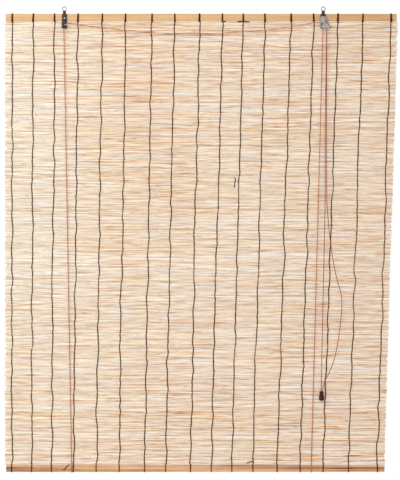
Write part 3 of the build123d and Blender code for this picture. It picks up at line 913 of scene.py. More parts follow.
@dataclass
class Studio:
    """The camera, the lamps, the white surround and the floor."""

    lens: float = 120.0
    sensor: float = 36.0
    camera_place: Point = (0.01573, -4.09, -0.5904)
    aim: Point = (0.02, 0.0, -0.6)
    floor_z: float = -3.4
    floor_half: float = 9.0
    floor_glow: float = 0.22
    fill: float = 0.62

    def build(self) -> None:
        """Sets up the whole studio."""
        bpy.context.scene.view_settings.view_transform = "Standard"
        self.camera()
        self.lamp("key_lamp", place=(-1.5, -2.6, 1.1), width=2.4, power=46.0)
        self.lamp("front_lamp", place=(0.9, -3.4, 0.2), width=2.6, power=24.0)
        self.lamp("back_lamp", place=(0.6, 2.8, 0.9), width=2.6, power=30.0)
        self.surround()
        self.floor()

    def camera(self) -> None:
        """Puts the camera level with the middle of the picture, looking straight at the blind."""
        data = bpy.data.cameras.new("camera")
        data.sensor_fit = "VERTICAL"
        data.sensor_height = self.sensor
        data.lens = self.lens
        holder = link("camera", data)
        holder.location = self.camera_place
        holder.rotation_euler = (math.radians(90), 0, 0)
        bpy.context.scene.camera = holder

    def lamp(self, name: str, place: Point, width: float, power: float) -> None:
        """Hangs a soft square lamp that faces the middle of the blind.

        Args:
            name: the lamp's name.
            place: where it hangs.
            width: how wide it is.
            power: its power, in watts.
        """
        data = bpy.data.lights.new(name, "AREA")
        data.size = width
        data.energy = power
        holder = link(name, data)
        holder.location = place
        aim = mathutils.Vector(self.aim) - mathutils.Vector(place)
        holder.rotation_euler = aim.to_track_quat("-Z", "Y").to_euler()

    @staticmethod
    def seen(graph: Graph, *rays: str) -> Wire:
        """Gives 1 where the view, or one of the other kinds of ray, meets the surround or the floor.

        Args:
            graph: the tree to add to.
            rays: the other kinds of ray that count.

        Returns:
            The wire of the 1 or 0.
        """
        first, *others = graph.parts(graph.add("ShaderNodeLightPath"), "Is Camera Ray", *rays)
        for other in others:
            first = graph.math("MAXIMUM", first, other)
        return first

    def surround(self) -> None:
        """Makes the surround white where it is seen or mirrored, and a plain fill elsewhere."""
        world = bpy.data.worlds.new("surround")
        bpy.context.scene.world = world
        world.use_nodes = True
        graph = Graph(world.node_tree)
        seen = self.seen(graph, "Is Glossy Ray", "Is Transmission Ray")
        graph.fill(world.node_tree.nodes["Background"], {
            "Color": WHITE, "Strength": graph.spread(seen, 0.0, 1.0, self.fill, 1.0)})

    def floor(self) -> None:
        """Lays a plain pale floor, seen from above, far enough below for the tassel to come down."""
        half = self.floor_half
        mesh = bpy.data.meshes.new("floor")
        corners = ((-half, -half), (half, -half), (half, half), (-half, half))
        mesh.from_pydata([(x, y, self.floor_z) for x, y in corners], [], [(0, 1, 2, 3)])
        floor = link("floor", mesh)
        paint = bpy.data.materials.new("pale_floor")
        paint.use_nodes = True
        graph = Graph(paint.node_tree)
        shader = paint.node_tree.nodes["Principled BSDF"]
        spot = graph.noise(graph.wire("ShaderNodeTexCoord", output="Object"), 1.4, 3.0)
        graph.fill(shader, {
            "Base Color": graph.ramp(spot, ((0.3, srgb(246, 245, 243)), (0.7, srgb(250, 249, 247)))),
            "Roughness": 0.9, "Emission Color": WHITE,
            "Emission Strength": self.seen(graph, "Is Glossy Ray") * self.floor_glow})
        under = graph.wire("ShaderNodeNewGeometry", output="Backfacing")
        clear = graph.wire("ShaderNodeBsdfTransparent")
        both = graph.wire("ShaderNodeMixShader", {0: under, 1: Wire(graph, shader.outputs[0]), 2: clear})
        graph.feed(paint.node_tree.nodes["Material Output"].inputs["Surface"], both)
        mesh.materials.append(paint)
        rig.stage(floor)


@dataclass
class KnotShape:
    """An overhand knot, as a closed trefoil of cord."""

    scale: float
    radius: float
    finish: Finish
    points: int = 36
    sides: int = 8

    def tube(self, graph: Graph) -> Wire:
        """Adds the knot's mesh to a tree.

        Args:
            graph: the tree to add to.

        Returns:
            The mesh's wire.
        """
        turn = graph.along() * math.tau
        twice = turn * 2.0
        x = graph.math("SINE", turn) + graph.math("SINE", twice) * 2.0
        y = graph.math("SINE", turn * 3.0)
        z = graph.math("COSINE", turn) - graph.math("COSINE", twice) * 2.0
        spot = graph.wire("ShaderNodeVectorMath", {0: graph.xyz(x, y, z), "Scale": self.scale},
                          operation="SCALE")
        line = graph.put(graph.ring(self.points), "Position", spot)
        return graph.tube(line, graph.ring(self.sides, self.radius), caps=False)

    def build(self, name: str, place: Point) -> Piece:
        """Makes one knot at a place and gives its piece.

        Args:
            name: the piece's name.
            place: its middle.

        Returns:
            The piece.
        """
        rule = Rule(name + "_rule", {"Place": place})
        rule.close(rule.graph.put(self.tube(rule.graph), "Offset", rule.size("Place")), self.finish)
        return dress(rule.apply(bare_holder(name), name), self.finish, Slot.CORD)


@dataclass
class CordRoute:
    """One length of cord: the solid that it stands for, its route, its real length and how it lies."""

    node: str
    route: Sequence[Point]
    length: float
    far_end: str = "object"
    lay: str = "taut"
    darker_draw: bool = False


@dataclass
class Cords:
    """The twisted cords: lift cords, the swag across the head, the turns and the draw cords."""

    finishes: Finishes
    diameter: float = 0.002
    lay_length: float = 0.0085
    step: float = 0.0014
    sides: int = 12
    strands: float = 3.0
    strand_rise: float = 0.07
    resolution: int = 16
    sling_low: float = -1.1808
    sling_top: float = -1.161
    sling_front: float = 0.00205
    sling_back: float = 0.01055
    sling_under: float = -1.18505
    left_foot: float = -0.31275
    right_foot: float = 0.30066
    left_head: Point = (-0.33225, -0.00115, -0.0434)
    right_head: Point = (0.33055, -0.00195, -0.0397)
    foot_z: float = -1.1609
    mouth: float = -0.0498
    tassel_top: float = -0.9765
    back_x: float = 0.33075
    back_y: float = 0.0119
    back_top: float = -0.0182
    knot_y: float = 0.0131
    knot_z: float = -0.0171
    cross_route: Route = (
        (-0.33225, -0.00115, -0.0433), (-0.33225, -0.00115, -0.03533), (-0.32431, -0.00115, -0.03627),
        (-0.29613, -0.00115, -0.03963), (-0.25266, -0.00139, -0.04603), (-0.20408, -0.00163, -0.0514),
        (-0.15039, -0.00187, -0.05702), (-0.09413, -0.00212, -0.06137), (-0.03788, -0.00236, -0.06341),
        (0.01837, -0.0026, -0.06316), (0.07462, -0.00284, -0.06137), (0.12832, -0.00308, -0.0583),
        (0.17946, -0.00332, -0.05523), (0.22292, -0.00357, -0.05012), (0.26128, -0.00381, -0.04372),
        (0.29452, -0.00405, -0.03733), (0.32155, -0.00405, -0.03389), (0.34115, -0.00405, -0.0302),
        (0.33955, -0.00405, -0.0497))
    turn_route: Route = (
        (0.33055, -0.00195, -0.0396), (0.33055, -0.00195, -0.0367), (0.33055, -0.00195, -0.0322),
        (0.33955, -0.00195, -0.0322), (0.33955, -0.00195, -0.0367), (0.33955, -0.00195, -0.0497))
    tight_route: Route = (
        (0.33955, -0.00195, mouth), (0.33517, -0.00314, -0.30914), (0.33568, -0.0039, -0.47535),
        (0.33287, -0.00455, -0.61598), (0.32853, -0.00543, -0.80776), (0.32492, -0.0062, -0.97442),
        (0.32492, -0.0062, -0.99122))
    slack_route: Route = (
        (0.33955, -0.00405, mouth), (0.33773, -0.0062, -0.47535), (0.34182, -0.0062, -0.52649),
        (0.34719, -0.0062, -0.5853), (0.35512, -0.0062, -0.64411), (0.36611, -0.0062, -0.69525),
        (0.37762, -0.0062, -0.73105), (0.37838, -0.0062, -0.76684), (0.37301, -0.0062, -0.81287),
        (0.36662, -0.0062, -0.86145), (0.35691, -0.0062, -0.90237), (0.34463, -0.0062, -0.93049),
        (0.33236, -0.0062, -0.95606), (0.32702, -0.0062, -0.97442), (0.32702, -0.0062, -0.99122))

    def twist(self) -> Rule:
        """Gives the tree that lays three strands along a line.

        Returns:
            The tree.
        """
        rule = Rule("three_strand_cord", {"Diameter": self.diameter, "Lay Length": self.lay_length,
                                          "Step": self.step, "Sides": self.sides})
        graph, size = rule.graph, rule.size
        turns = graph.along("Length") / size("Lay Length")
        line = graph.resample(size("Geometry"), "Length", size("Step"))
        line = graph.wire("GeometryNodeSetCurveTilt", {"Curve": line, "Tilt": turns * math.tau})
        angle = graph.along() * math.tau
        reach = (graph.math("COSINE", angle * self.strands) * self.strand_rise + 0.5) * size("Diameter")
        spot = graph.xyz(graph.math("COSINE", angle) * reach, graph.math("SINE", angle) * reach, 0.0)
        ring = graph.put(graph.ring(size("Sides")), "Position", spot)
        rule.close(graph.tube(line, ring), self.finishes.cord)
        return rule

    def lay(self, rule: Rule, cord: CordRoute, with_pieces: Sequence[Any] = ()) -> Piece:
        """Makes one cord, and says how long and how thick it is and how it lies.

        Args:
            rule: the tree that twists the cord.
            cord: its route and facts.
            with_pieces: the pieces on its far end.

        Returns:
            The cord's piece.
        """
        name = cord.node + "_laid"
        curve = smooth_line(name, cord.route, self.resolution)
        middle = evaluated_mesh(curve)
        path = [tuple(vertex.co) for vertex in middle.vertices]
        bpy.data.meshes.remove(middle)
        finish = self.finishes.darker_draw if cord.darker_draw else self.finishes.cord
        piece = dress(rule.apply(curve, name), finish, Slot.CORD)
        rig.replaces(piece, cord.node)
        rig.cord(piece, exit=cord.route[0], length=cord.length, diameter=self.diameter,
                far_end=cord.far_end, stiffness="limp", lay=cord.lay, path=path, with_pieces=with_pieces)
        return piece

    def gathered(self, rule: Rule, cord: CordRoute) -> None:
        """Makes a cord along the mat, which shortens as the foot rises.

        Args:
            rule: the tree that twists the cord.
            cord: its route and facts.
        """
        piece = self.lay(rule, cord)
        head, foot = cord.route
        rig.ride(piece, Body.HEAD.value)
        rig.squash(piece, "lift", axis=(0, 0, 1), anchor=head, keep=1 - LIFT_TRAVEL / (head[2] - foot[2]))

    def drawn(self, rule: Rule, cord: CordRoute, with_pieces: Sequence[Any]) -> None:
        """Makes a draw cord, which runs out of the lock as the tassel comes down.

        Args:
            rule: the tree that twists the cord.
            cord: its route and facts.
            with_pieces: the pieces on its far end.
        """
        piece = self.lay(rule, cord, with_pieces)
        start = cord.route[0]
        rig.blend(piece, Body.HEAD.value, Body.TASSEL.value, start=start,
                 end=(start[0], start[1], self.tassel_top))

    def sling_route(self, x: float) -> list[Point]:
        """Gives the way of a lift cord under the foot canes.

        Args:
            x: where the cord is.

        Returns:
            The control points.
        """
        down = (self.sling_top, self.sling_low, self.sling_under)
        return ([(x, self.sling_front, z) for z in down]
                + [(x, self.sling_back, z) for z in reversed(down)])

    def build(self, tassel: Sequence[Any]) -> None:
        """Makes every cord.

        Args:
            tassel: the pieces on the ends of the draw cords.
        """
        rule = self.twist()
        for node, head, foot, length in (("left_lift_cord", self.left_head, self.left_foot, 1.1177),
                                         ("right_lift_cord", self.right_head, self.right_foot, 1.1216)):
            self.gathered(rule, CordRoute(node, (head, (foot, self.sling_front, self.foot_z)), length))
        for cord, body in (
                (CordRoute("cross_cord", self.cross_route, length=0.6962, lay="hanging"), Body.HEAD),
                (CordRoute("right_turn_cord", self.turn_route, length=0.030), Body.HEAD),
                (CordRoute("left_sling", self.sling_route(self.left_foot), length=0.053), Body.FOOT),
                (CordRoute("right_sling", self.sling_route(self.right_foot), length=0.053), Body.FOOT)):
            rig.ride(self.lay(rule, cord), body.value)
        for node, foot, x in (("left_back_cord", self.left_foot, -self.back_x),
                              ("right_back_cord", self.right_foot, self.back_x)):
            head = (x, self.back_y, MAT_TOP)
            route = (head, (foot, self.sling_back, self.foot_z))
            self.gathered(rule, CordRoute(node, route, length=1.13))
            self.end(rule, node, head)
        for node, route, length, far_end, on_end in (
                ("draw_cord_tight", self.tight_route, 0.9416, "fitting", tassel),
                ("draw_cord_slack", self.slack_route, 0.9527, "knot", ())):
            self.drawn(rule, CordRoute(node, route, length, far_end, "hanging", darker_draw=True), on_end)

    def end(self, rule: Rule, node: str, head: Point) -> None:
        """Makes the end of a lift cord on the back of the rail, with its knot above the staple.

        Args:
            rule: the tree that twists the cord.
            node: the solid that the end is a part of.
            head: where the end starts.
        """
        name = node + "_end"
        up = smooth_line(name, (head, (head[0], self.back_y, self.back_top)), self.resolution)
        stem = dress(rule.apply(up, name), self.finishes.cord, Slot.CORD)
        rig.ride(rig.replaces(stem, node), Body.HEAD.value)
        shape = KnotShape(scale=0.00062, radius=0.0007, finish=self.finishes.cord)
        knot = shape.build(node + "_knot", (head[0], self.knot_y, self.knot_z))
        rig.ride(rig.replaces(knot, node), Body.HEAD.value)


@dataclass
class ReedMat:
    """The mat: three hundred thin reeds side by side, uneven in tone, thickness and length."""

    finishes: Finishes
    points: int = 40
    sides: int = 7
    radius: float = 0.0017
    left: float = -0.48375
    right: float = 0.5225
    ragged: tuple[float, float] = (0.0056, 0.0036)
    ragged_power: float = 2.8
    taper: float = 0.0340
    wave: float = 0.0080
    wander: float = 0.0022
    foot_reach: float = 0.0007
    thin: float = 0.84
    uneven: float = 0.3
    swell: Range = (0.2, 0.8, 0.86, 1.12)
    seed: int = 11
    swaying: Streaks = Streaks(7.0, 0.71, 3.3, detail=1.0)
    waving: Streaks = Streaks(6.0, 0.03, 1.7, detail=1.0)
    deepening: Streaks = Streaks(9.0, 1.93, 8.1, 0.0008, 1.0)
    swelling: Streaks = Streaks(16.0, 2.37, 5.7, detail=2.0)

    def rule(self) -> Rule:
        """Gives the tree that lays the reeds.

        Returns:
            The tree.
        """
        rule = Rule("reed_mat_rule", {
            "Reeds": REEDS, "Points": self.points, "Sides": self.sides, "Radius": self.radius,
            "Left": self.left, "Right": self.right, "Left Ragged": self.ragged[0],
            "Right Ragged": self.ragged[1], "Wave": self.wave, "Taper": self.taper, "Wander": self.wander,
            "Top": MAT_TOP, "Height": MAT_TOP - MAT_FOOT + self.foot_reach, "Depth": MAT_Y,
            "Seed": self.seed})
        graph, size = rule.graph, rule.size
        line = graph.wire("GeometryNodeCurvePrimitiveLine", {"Start": (0, 0, 0), "End": (1, 0, 0)})
        rows, number = graph.copies(graph.resample(line, "Count", size("Points")), size("Reeds"))
        named = {"Geometry": rows, "Name": "reed", "Value": number}
        rows = graph.wire("GeometryNodeStoreNamedAttribute", named, data_type="FLOAT", domain="POINT")
        along = graph.along()
        down = (number + 0.5) / size("Reeds")
        cuts = [graph.math("POWER", self.chance(rule, number, draw), self.ragged_power) for draw in (1, 2)]
        left = size("Left") + size("Left Ragged") * cuts[0]
        right = size("Right") - size("Right Ragged") * cuts[1] - size("Taper") * down
        x = left + (right - left) * along
        y = size("Depth") + self.deepening.swing(along, number)
        z = size("Top") - size("Height") * down + self.swaying.swing(along, number) * size("Wander")
        # The wave that all reeds share fades out towards the head and the foot.
        z = z + self.waving.swing(along, number) * (down * 4.0 * (1.0 - down)) * size("Wave")
        rows = graph.put(rows, "Position", graph.xyz(x, y, z))
        thick = self.thin + self.chance(rule, number, 3) * self.uneven
        thick = thick * graph.spread(self.swelling.noise(along, number), *self.swell)
        rows = graph.wire("GeometryNodeSetCurveRadius", {"Curve": rows, "Radius": thick * size("Radius")})
        rule.close(graph.tube(rows, graph.ring(size("Sides")), own_radius=True), self.finishes.reed)
        return rule

    @staticmethod
    def chance(rule: Rule, number: Wire, draw: int) -> Wire:
        """Gives a fixed random share, from 0 to 1, for each reed by its number and the draw's number."""
        inputs = {7: number, 8: rule.size("Seed") + draw}
        return rule.graph.wire("FunctionNodeRandomValue", inputs, 1, data_type="FLOAT")

    def build(self) -> None:
        """Makes the mat, which gathers as the foot rises."""
        piece = self.rule().apply(bare_holder("reeds"), "reeds")
        dress(piece, self.finishes.reed, Slot.REED)
        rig.replaces(piece, "reed_mat")
        gather(piece)


@dataclass
class StitchThreads:
    """The dark threads: a twisted pair down the mat, a wrap and a knot at its head, turns at its foot.

    A thread steps aside by its jog over one share of its length and comes back over the last one.
    """

    finishes: Finishes
    radius: float = 0.00132
    sides: int = 5
    reach: float = 0.0021
    side: float = 0.0007
    wander: float = 0.0150
    wander_scale: float = 20.0
    jogs: tuple[float, float] = (0.0024, -0.0010)
    jog_out: tuple[float, float] = (0.90, 0.97)
    jog_back: tuple[float, float] = (0.990, 1.0)
    rail_mid: float = -0.021
    rail: tuple[float, float] = (0.0105, 0.0195)
    rail_pinch: float = -0.5
    wrap_turns: int = 5
    wrap_step: float = 0.00062
    wrap_radius: float = 0.00068
    wrap_sides: int = 6
    wrap_points: int = 40
    wrap_corner: float = 0.0016
    wrap_ragged: float = 0.0012
    wrap_lean: float = 0.07
    wrap_stretch: tuple[float, float] = (0.86, 1.12)
    knot_out: float = 0.0006
    knot_up: float = 0.0002
    cane_mid: float = -1.1744
    canes: tuple[float, float] = (0.0072, 0.0200)
    lash_turns: int = 3
    seed: int = 5
    seed_step: float = 3.7

    def pair(self, index: int) -> Piece:
        """Makes the twisted pair of one thread.

        Args:
            index: the thread's number from the left, from 0.

        Returns:
            The thread's piece.
        """
        name = f"thread_{index + 1:02d}"
        share = index / (len(THREAD_HEADS) - 1)
        rule = Rule(name + "_rule", {
            "Head": (THREAD_HEADS[index], MAT_Y, MAT_TOP), "Foot": (THREAD_FEET[index], MAT_Y, MAT_FOOT),
            "Jog": self.jogs[0] + (self.jogs[1] - self.jogs[0]) * share, "Reeds": REEDS,
            "Radius": self.radius, "Reach": self.reach, "Side": self.side, "Wander": self.wander,
            "Seed": self.seed + self.seed_step * index})
        graph, size = rule.graph, rule.size
        line = graph.wire("GeometryNodeCurvePrimitiveLine", {"Start": size("Head"), "End": size("Foot")})
        line = graph.resample(line, "Count", size("Reeds") * 2.0 + 1.0)
        strands, strand = graph.copies(line, 2)
        along = graph.along()
        turn = (along * size("Reeds") - 0.5 + strand) * math.pi
        sway = graph.noise(graph.xyz(along * self.wander_scale, size("Seed"), 0.0), detail=2.5) - 0.5
        aside = graph.spread(along, *self.jog_out) - graph.spread(along, *self.jog_back)
        x = sway * size("Wander") + graph.math("SINE", turn) * size("Side") + aside * size("Jog")
        y = graph.math("COSINE", turn) * (size("Reach") * -1.0)
        strands = graph.put(strands, "Offset", graph.xyz(x, y, 0.0))
        rule.close(graph.tube(strands, graph.ring(self.sides, size("Radius"))), self.finishes.thread)
        return rule.apply(bare_holder(name), name)

    def bindings(self, name: str, places: Sequence[Point], section: tuple[float, float], turns: int,
                 pinch: float = 0.0, knot: Optional[Point] = None) -> Piece:
        """Makes turns of thread round a bar at each of the places.

        Args:
            name: the piece's name.
            places: the middle of each set of turns.
            section: the depth and height that the turns go round.
            turns: how many turns lie side by side.
            pinch: how much nearer the turns lie at the bottom than at the top, or less than 0 for further.
            knot: where a knot lies from the middle, if there is one.

        Returns:
            The piece with every set of turns.
        """
        rule = Rule(name + "_rule", {
            "Depth": section[0], "Height": section[1], "Turns": turns, "Step": self.wrap_step,
            "Pinch": pinch, "Radius": self.wrap_radius, "Seed": self.seed})
        graph, size = rule.graph, rule.size
        box = graph.wire("GeometryNodeCurvePrimitiveQuadrilateral",
                         {"Width": size("Depth"), "Height": size("Height")})
        rounding = {"Curve": box, "Radius": self.wrap_corner, "Count": 3}
        box = graph.wire("GeometryNodeFilletCurve", rounding, mode="POLY")
        loops, number = graph.copies(graph.resample(box, "Count", self.wrap_points), size("Turns"))
        deep, high, _ = graph.split(graph.wire("GeometryNodeInputPosition"))
        order = number - (size("Turns") - 1.0) * 0.5
        low = 0.5 - high / size("Height")
        x = order * size("Step") * (1.0 - low * size("Pinch"))
        ragged = graph.noise(graph.xyz(order * 5.3, high * 260.0, deep * 260.0)) - 0.5
        loops = graph.put(loops, "Position", graph.xyz(x + ragged * self.wrap_ragged, deep, high))
        mesh = graph.tube(loops, graph.ring(self.wrap_sides, size("Radius")), caps=False)
        if knot is not None:
            shape = KnotShape(scale=0.00058, radius=0.00078, finish=self.finishes.thread, points=30,
                              sides=6)
            lump = graph.wire("GeometryNodeTransform", {"Geometry": shape.tube(graph), "Translation": knot})
            joined = graph.add("GeometryNodeJoinGeometry")
            for part in (mesh, lump):
                graph.feed(joined.inputs[0], part)
            mesh = Wire(graph, joined.outputs[0])
        lean, stretch = (
            graph.wire("FunctionNodeRandomValue", {2: low, 3: high, 8: seed}, 1, data_type="FLOAT")
            for low, high, seed in ((-self.wrap_lean, self.wrap_lean, size("Seed")),
                                    (*self.wrap_stretch, size("Seed") + 1.0)))
        sets = graph.wire("GeometryNodeInstanceOnPoints", {
            "Points": size("Geometry"), "Instance": mesh, "Rotation": graph.xyz(0.0, lean, 0.0),
            "Scale": graph.xyz(stretch, 1.0, 1.0)})
        rule.close(sets, self.finishes.thread)
        return dress(rule.apply(bare_holder(name, places), name), self.finishes.thread, Slot.THREAD)

    def build(self) -> None:
        """Makes the threads, their wraps on the rail and their turns round the canes."""
        nodes = [f"stitch_thread_{index + 1:02d}" for index in range(len(THREAD_HEADS))]
        for index, node in enumerate(nodes):
            piece = dress(self.pair(index), self.finishes.thread, Slot.THREAD)
            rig.replaces(piece, node)
            gather(piece)
        heads = [(x, MAT_Y, self.rail_mid) for x in THREAD_HEADS]
        knot = (0.0, -self.rail[0] / 2 - self.knot_out, -self.rail[1] / 2 + self.knot_up)
        wraps = self.bindings("head_wraps", heads, self.rail, self.wrap_turns, self.rail_pinch, knot)
        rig.ride(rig.replaces(wraps, *nodes), Body.HEAD.value)
        feet = [(x, MAT_Y, self.cane_mid) for x in THREAD_FEET]
        turns = self.bindings("foot_turns", feet, self.canes, self.lash_turns)
        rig.ride(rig.replaces(turns, "foot_lashings"), Body.FOOT.value)


@dataclass
class LooseTails:
    """The few loose ends of thread on the mat, under the rail and over the foot canes."""

    finishes: Finishes
    pixel: float = 0.002557
    middle_column: float = 193.85
    eye_row: float = 9.1
    radius: float = 0.0011
    resolution: int = 12
    front_y: float = 0.0034
    rail_y: float = 0.0030
    cane_y: float = 0.0027

    def tail(self, name: str, spots: Sequence[tuple[float, float]], y: float) -> Piece:
        """Makes one loose end as a smooth tube.

        Args:
            name: the piece's name.
            spots: the columns and rows of its points in the picture.
            y: how deep it lies.

        Returns:
            The piece.
        """
        route = [((column - self.middle_column) * self.pixel, y, (self.eye_row - row) * self.pixel)
                 for column, row in spots]
        curve = smooth_line(name, route, self.resolution)
        curve.data.bevel_depth = self.radius
        curve.data.bevel_resolution = 2
        curve.data.use_fill_caps = True
        return dress(baked(curve, name), self.finishes.thread, Slot.THREAD)

    def build(self) -> None:
        """Makes every loose end."""
        for name, spots in (
                ("loose_tail_mat", ((234.2, 177.6), (235.8, 178.6), (235.4, 181.0), (234.6, 183.4),
                                    (234.9, 185.8), (233.8, 187.4))),
                ("loose_tail_foot", ((247.2, 463.2), (249.0, 461.9), (251.0, 462.0), (253.0, 461.2)))):
            gather(self.tail(name, spots, self.front_y))
        for name, spots, y, body in (
                ("loose_tail_rail_1", ((221.6, 20.6), (223.4, 21.6), (225.8, 21.3)),
                 self.rail_y, Body.HEAD),
                ("loose_tail_rail_2", ((237.6, 21.7), (241.0, 21.2), (245.0, 21.5), (249.6, 21.9)),
                 self.rail_y, Body.HEAD),
                ("loose_tail_cane", ((69.4, 464.6), (67.4, 466.0), (65.2, 468.6), (63.2, 470.0)),
                 self.cane_y, Body.FOOT)):
            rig.ride(self.tail(name, spots, y), body.value)


def turned_mesh(name: str, rings: Sequence[Sequence[Point]], closed_ends: bool = True) -> bpy.types.Mesh:
    """Joins rings of points to one closed skin.

    Args:
        name: the mesh's name.
        rings: rings with the same number of points, in order.
        closed_ends: whether the first and the last ring get a cap. If not, they are welded to each other.

    Returns:
        The mesh, with its faces pointing out.
    """
    skin = bmesh.new()
    rows = [[skin.verts.new(place) for place in ring] for ring in rings]
    count = len(rows[0])
    for before, after in zip(rows, rows[1:]):
        for index in range(count):
            following = (index + 1) % count
            skin.faces.new((before[index], before[following], after[following], after[index]))
    if closed_ends:
        skin.faces.new(rows[0])
        skin.faces.new(rows[-1])
    else:
        bmesh.ops.remove_doubles(skin, verts=skin.verts[:], dist=WELD)
    bmesh.ops.recalc_face_normals(skin, faces=skin.faces[:])
    for face in skin.faces:
        face.smooth = len(face.verts) == 4
    mesh = bpy.data.meshes.new(name)
    skin.to_mesh(mesh)
    skin.free()
    return mesh


def around(sides: int, radius: float) -> list[tuple[float, float]]:
    """Gives the two ways across of each point on a circle."""
    turns = [math.tau * side / sides for side in range(sides)]
    return [(radius * math.cos(turn), radius * math.sin(turn)) for turn in turns]


@dataclass
class Cane:
    """One cane of the foot: its node, its row, where its joints are and how its skin's ripple starts."""

    node: str
    row: int
    joints: tuple[float, ...]
    phase: float


@dataclass
class FootCanes:
    """The bundle of three canes at the foot."""

    finishes: Finishes
    left: float = -0.48025
    length: float = 0.968
    top: float = -1.165
    pitch: float = 0.0064
    radius: float = 0.003
    tip_radius: float = 0.0027
    swell: float = 1.04
    ripple: float = 0.02
    ripples: float = 31.0
    joint_rise: float = 0.00032
    joint_half: float = 0.0035
    stations: int = 240
    sides: int = 14

    def cane(self, cane: Cane) -> Piece:
        """Makes one cane, with a low ring at each joint and a slightly uneven skin.

        Args:
            cane: its place, joints and ripple.

        Returns:
            The piece.
        """
        middle = self.top - self.radius - cane.row * self.pitch
        ends = (self.radius, self.tip_radius) if cane.row % 2 == 0 else (self.tip_radius, self.radius)
        rings = []
        for station in range(self.stations + 1):
            share = station / self.stations
            x = self.left + self.length * share
            radius = ends[0] + (ends[1] - ends[0]) * share
            radius *= self.swell + self.ripple * math.sin(self.ripples * share + cane.phase)
            for joint in cane.joints:
                gap = abs(x - joint) / self.joint_half
                radius += self.joint_rise * max(0.0, 1 - gap * gap)
            rings.append([(x, MAT_Y + across, middle + up) for across, up in around(self.sides, radius)])
        return link(cane.node + "_dressed", turned_mesh(cane.node, rings))

    def build(self) -> None:
        """Makes the three canes."""
        made = self.finishes
        for cane, finish in (
                (Cane("foot_cane_upper", 0, (-0.429, -0.0175, 0.259), 0.4), made.upper_cane),
                (Cane("foot_cane_middle", 1, (-0.255, -0.084, 0.150, 0.402), 1.9), made.middle_cane),
                (Cane("foot_cane_lower", 2, (-0.351, 0.062, 0.330), 3.1), made.lower_cane)):
            piece = dress(self.cane(cane), finish, Slot.CANE)
            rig.ride(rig.replaces(piece, cane.node), Body.FOOT.value)


@dataclass
class Tassel:
    """The turned wood acorn on the draw cords and the knot inside it."""

    finishes: Finishes
    x: float = 0.32597
    y: float = -0.0062
    top: float = -0.97652
    height: float = 0.0237
    bore: float = 0.0023
    hollow: float = 0.0036
    hollow_height: float = 0.009
    knot_drop: float = 0.0031
    sides: int = 40
    profile: tuple[tuple[float, float], ...] = (
        (0.0038, 0.0), (0.0051, 0.0002), (0.0055, 0.0008), (0.0055, 0.0028), (0.0052, 0.0040),
        (0.0047, 0.0049), (0.0049, 0.0054), (0.0050, 0.0059), (0.0047, 0.0064), (0.0050, 0.0073),
        (0.0054, 0.0088), (0.0060, 0.0112), (0.0065, 0.0140), (0.0069, 0.0172), (0.0069, 0.0196),
        (0.0066, 0.0214), (0.0060, 0.0228), (0.0052, 0.0237))

    def build(self) -> list[Piece]:
        """Makes the acorn and its knot.

        Returns:
            The pieces on the ends of the cords.
        """
        ceiling = self.height - self.hollow_height
        inner = [(self.hollow, self.height), (self.hollow, ceiling), (self.bore, ceiling), (self.bore, 0.0)]
        rings = [[(self.x + across, self.y + deep, self.top - drop)
                  for across, deep in around(self.sides, radius)]
                 for radius, drop in (*self.profile, *inner, self.profile[0])]
        mesh = turned_mesh("acorn", rings, closed_ends=False)
        acorn = dress(link("acorn", mesh), self.finishes.tassel, Slot.TASSEL_WOOD)
        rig.ride(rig.replaces(acorn, "tassel"), Body.TASSEL.value)
        low = self.top - self.height + self.hollow_height - self.knot_drop
        shape = KnotShape(scale=0.00068, radius=0.00085, finish=self.finishes.darker_draw)
        knot = shape.build("acorn_knot", (self.x, self.y, low))
        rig.ride(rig.replaces(knot, "tassel_knot"), Body.TASSEL.value)
        return [acorn, knot]


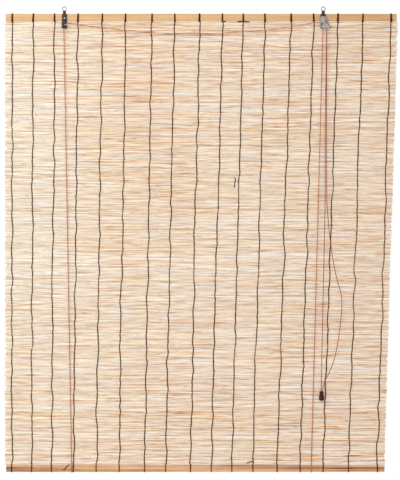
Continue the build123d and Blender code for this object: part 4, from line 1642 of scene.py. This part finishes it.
@dataclass
class Hardware:
    """The hangers, the cord lock and what turns in them, from the CAD solids with eased edges."""

    finishes: Finishes
    nodes: dict[str, Piece]
    eye_ease: float = 0.0006
    plate_ease: float = 0.00025
    screw_ease: float = 0.0004
    flat_angle: float = math.radians(1)
    edge_angle: float = math.radians(35)
    shading_angle: float = math.radians(40)

    def eased(self, node: str, width: float, finish: Finish, slot: Slot) -> Piece:
        """Copies a solid and rounds its sharp edges.

        Args:
            node: the solid's name.
            width: how wide the rounding is.
            finish: the finish of the piece.
            slot: the finish's slot.

        Returns:
            The rounded piece, which stands for the solid.
        """
        skin = bmesh.new()
        skin.from_mesh(self.nodes[node].data)
        bmesh.ops.remove_doubles(skin, verts=skin.verts[:], dist=WELD)
        bmesh.ops.dissolve_limit(skin, angle_limit=self.flat_angle, verts=skin.verts[:],
                                 edges=skin.edges[:])
        mesh = bpy.data.meshes.new(node + "_eased")
        skin.to_mesh(mesh)
        skin.free()
        piece = link(node + "_sharp", mesh)
        bevel = piece.modifiers.new("ease", "BEVEL")
        bevel.width = width
        bevel.segments = 2
        bevel.limit_method = "ANGLE"
        bevel.angle_limit = self.edge_angle
        bevel.use_clamp_overlap = True
        piece = dress(baked(piece, node + "_eased"), finish, slot)
        for face in piece.data.polygons:
            face.use_smooth = True
        piece.data.set_sharp_from_angle(angle=self.shading_angle)
        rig.replaces(piece, node)
        return piece

    def build(self) -> None:
        """Rounds the visible plates and gives every other solid its finish."""
        made = self.finishes
        for node, width, finish, slot in (
                ("left_eye", self.eye_ease, made.plated, Slot.PLATED_STEEL),
                ("right_eye", self.eye_ease, made.plated, Slot.PLATED_STEEL),
                ("left_front_cheek", self.plate_ease, made.plate, Slot.DARK_PLATE),
                ("left_back_cheek", self.plate_ease, made.plate, Slot.DARK_PLATE),
                ("lock_neck", self.plate_ease, made.plate, Slot.DARK_PLATE),
                ("lock_housing", self.plate_ease, made.zinc, Slot.ZINC),
                ("hanger_screws", self.screw_ease, made.screw, Slot.PLATED_STEEL),
                ("pulley_axles", self.screw_ease, made.plated, Slot.PLATED_STEEL)):
            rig.ride(self.eased(node, width, finish, slot), Body.HEAD.value)
        for node, finish in (("left_pulley", made.pulley), ("right_pulley", made.pulley),
                             ("lock_roller", made.pulley), ("left_staple", made.plated),
                             ("right_staple", made.plated), ("head_rail", made.rail)):
            holder = self.nodes[node]
            holder.data.materials.clear()
            holder.data.materials.append(finish.material())
            LOG.info("%s: kept, with its finish", node)


def main() -> None:
    """Builds the studio and every sub-assembly, in order."""
    logging.basicConfig(level=logging.INFO, format="%(name)s %(message)s")
    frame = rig.load()
    solid_box = [list(corner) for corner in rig.bounds()]
    finishes = Finishes()
    Studio().build()
    tassel = Tassel(finishes).build()
    Cords(finishes).build(tassel)
    ReedMat(finishes).build()
    StitchThreads(finishes).build()
    LooseTails(finishes).build()
    FootCanes(finishes).build()
    Hardware(finishes, frame["nodes"]).build()
    with open("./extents.json", "w") as out:
        json.dump({"cad": solid_box, "visual": [list(corner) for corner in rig.bounds()]}, out)


if __name__ == "__main__":
    main()
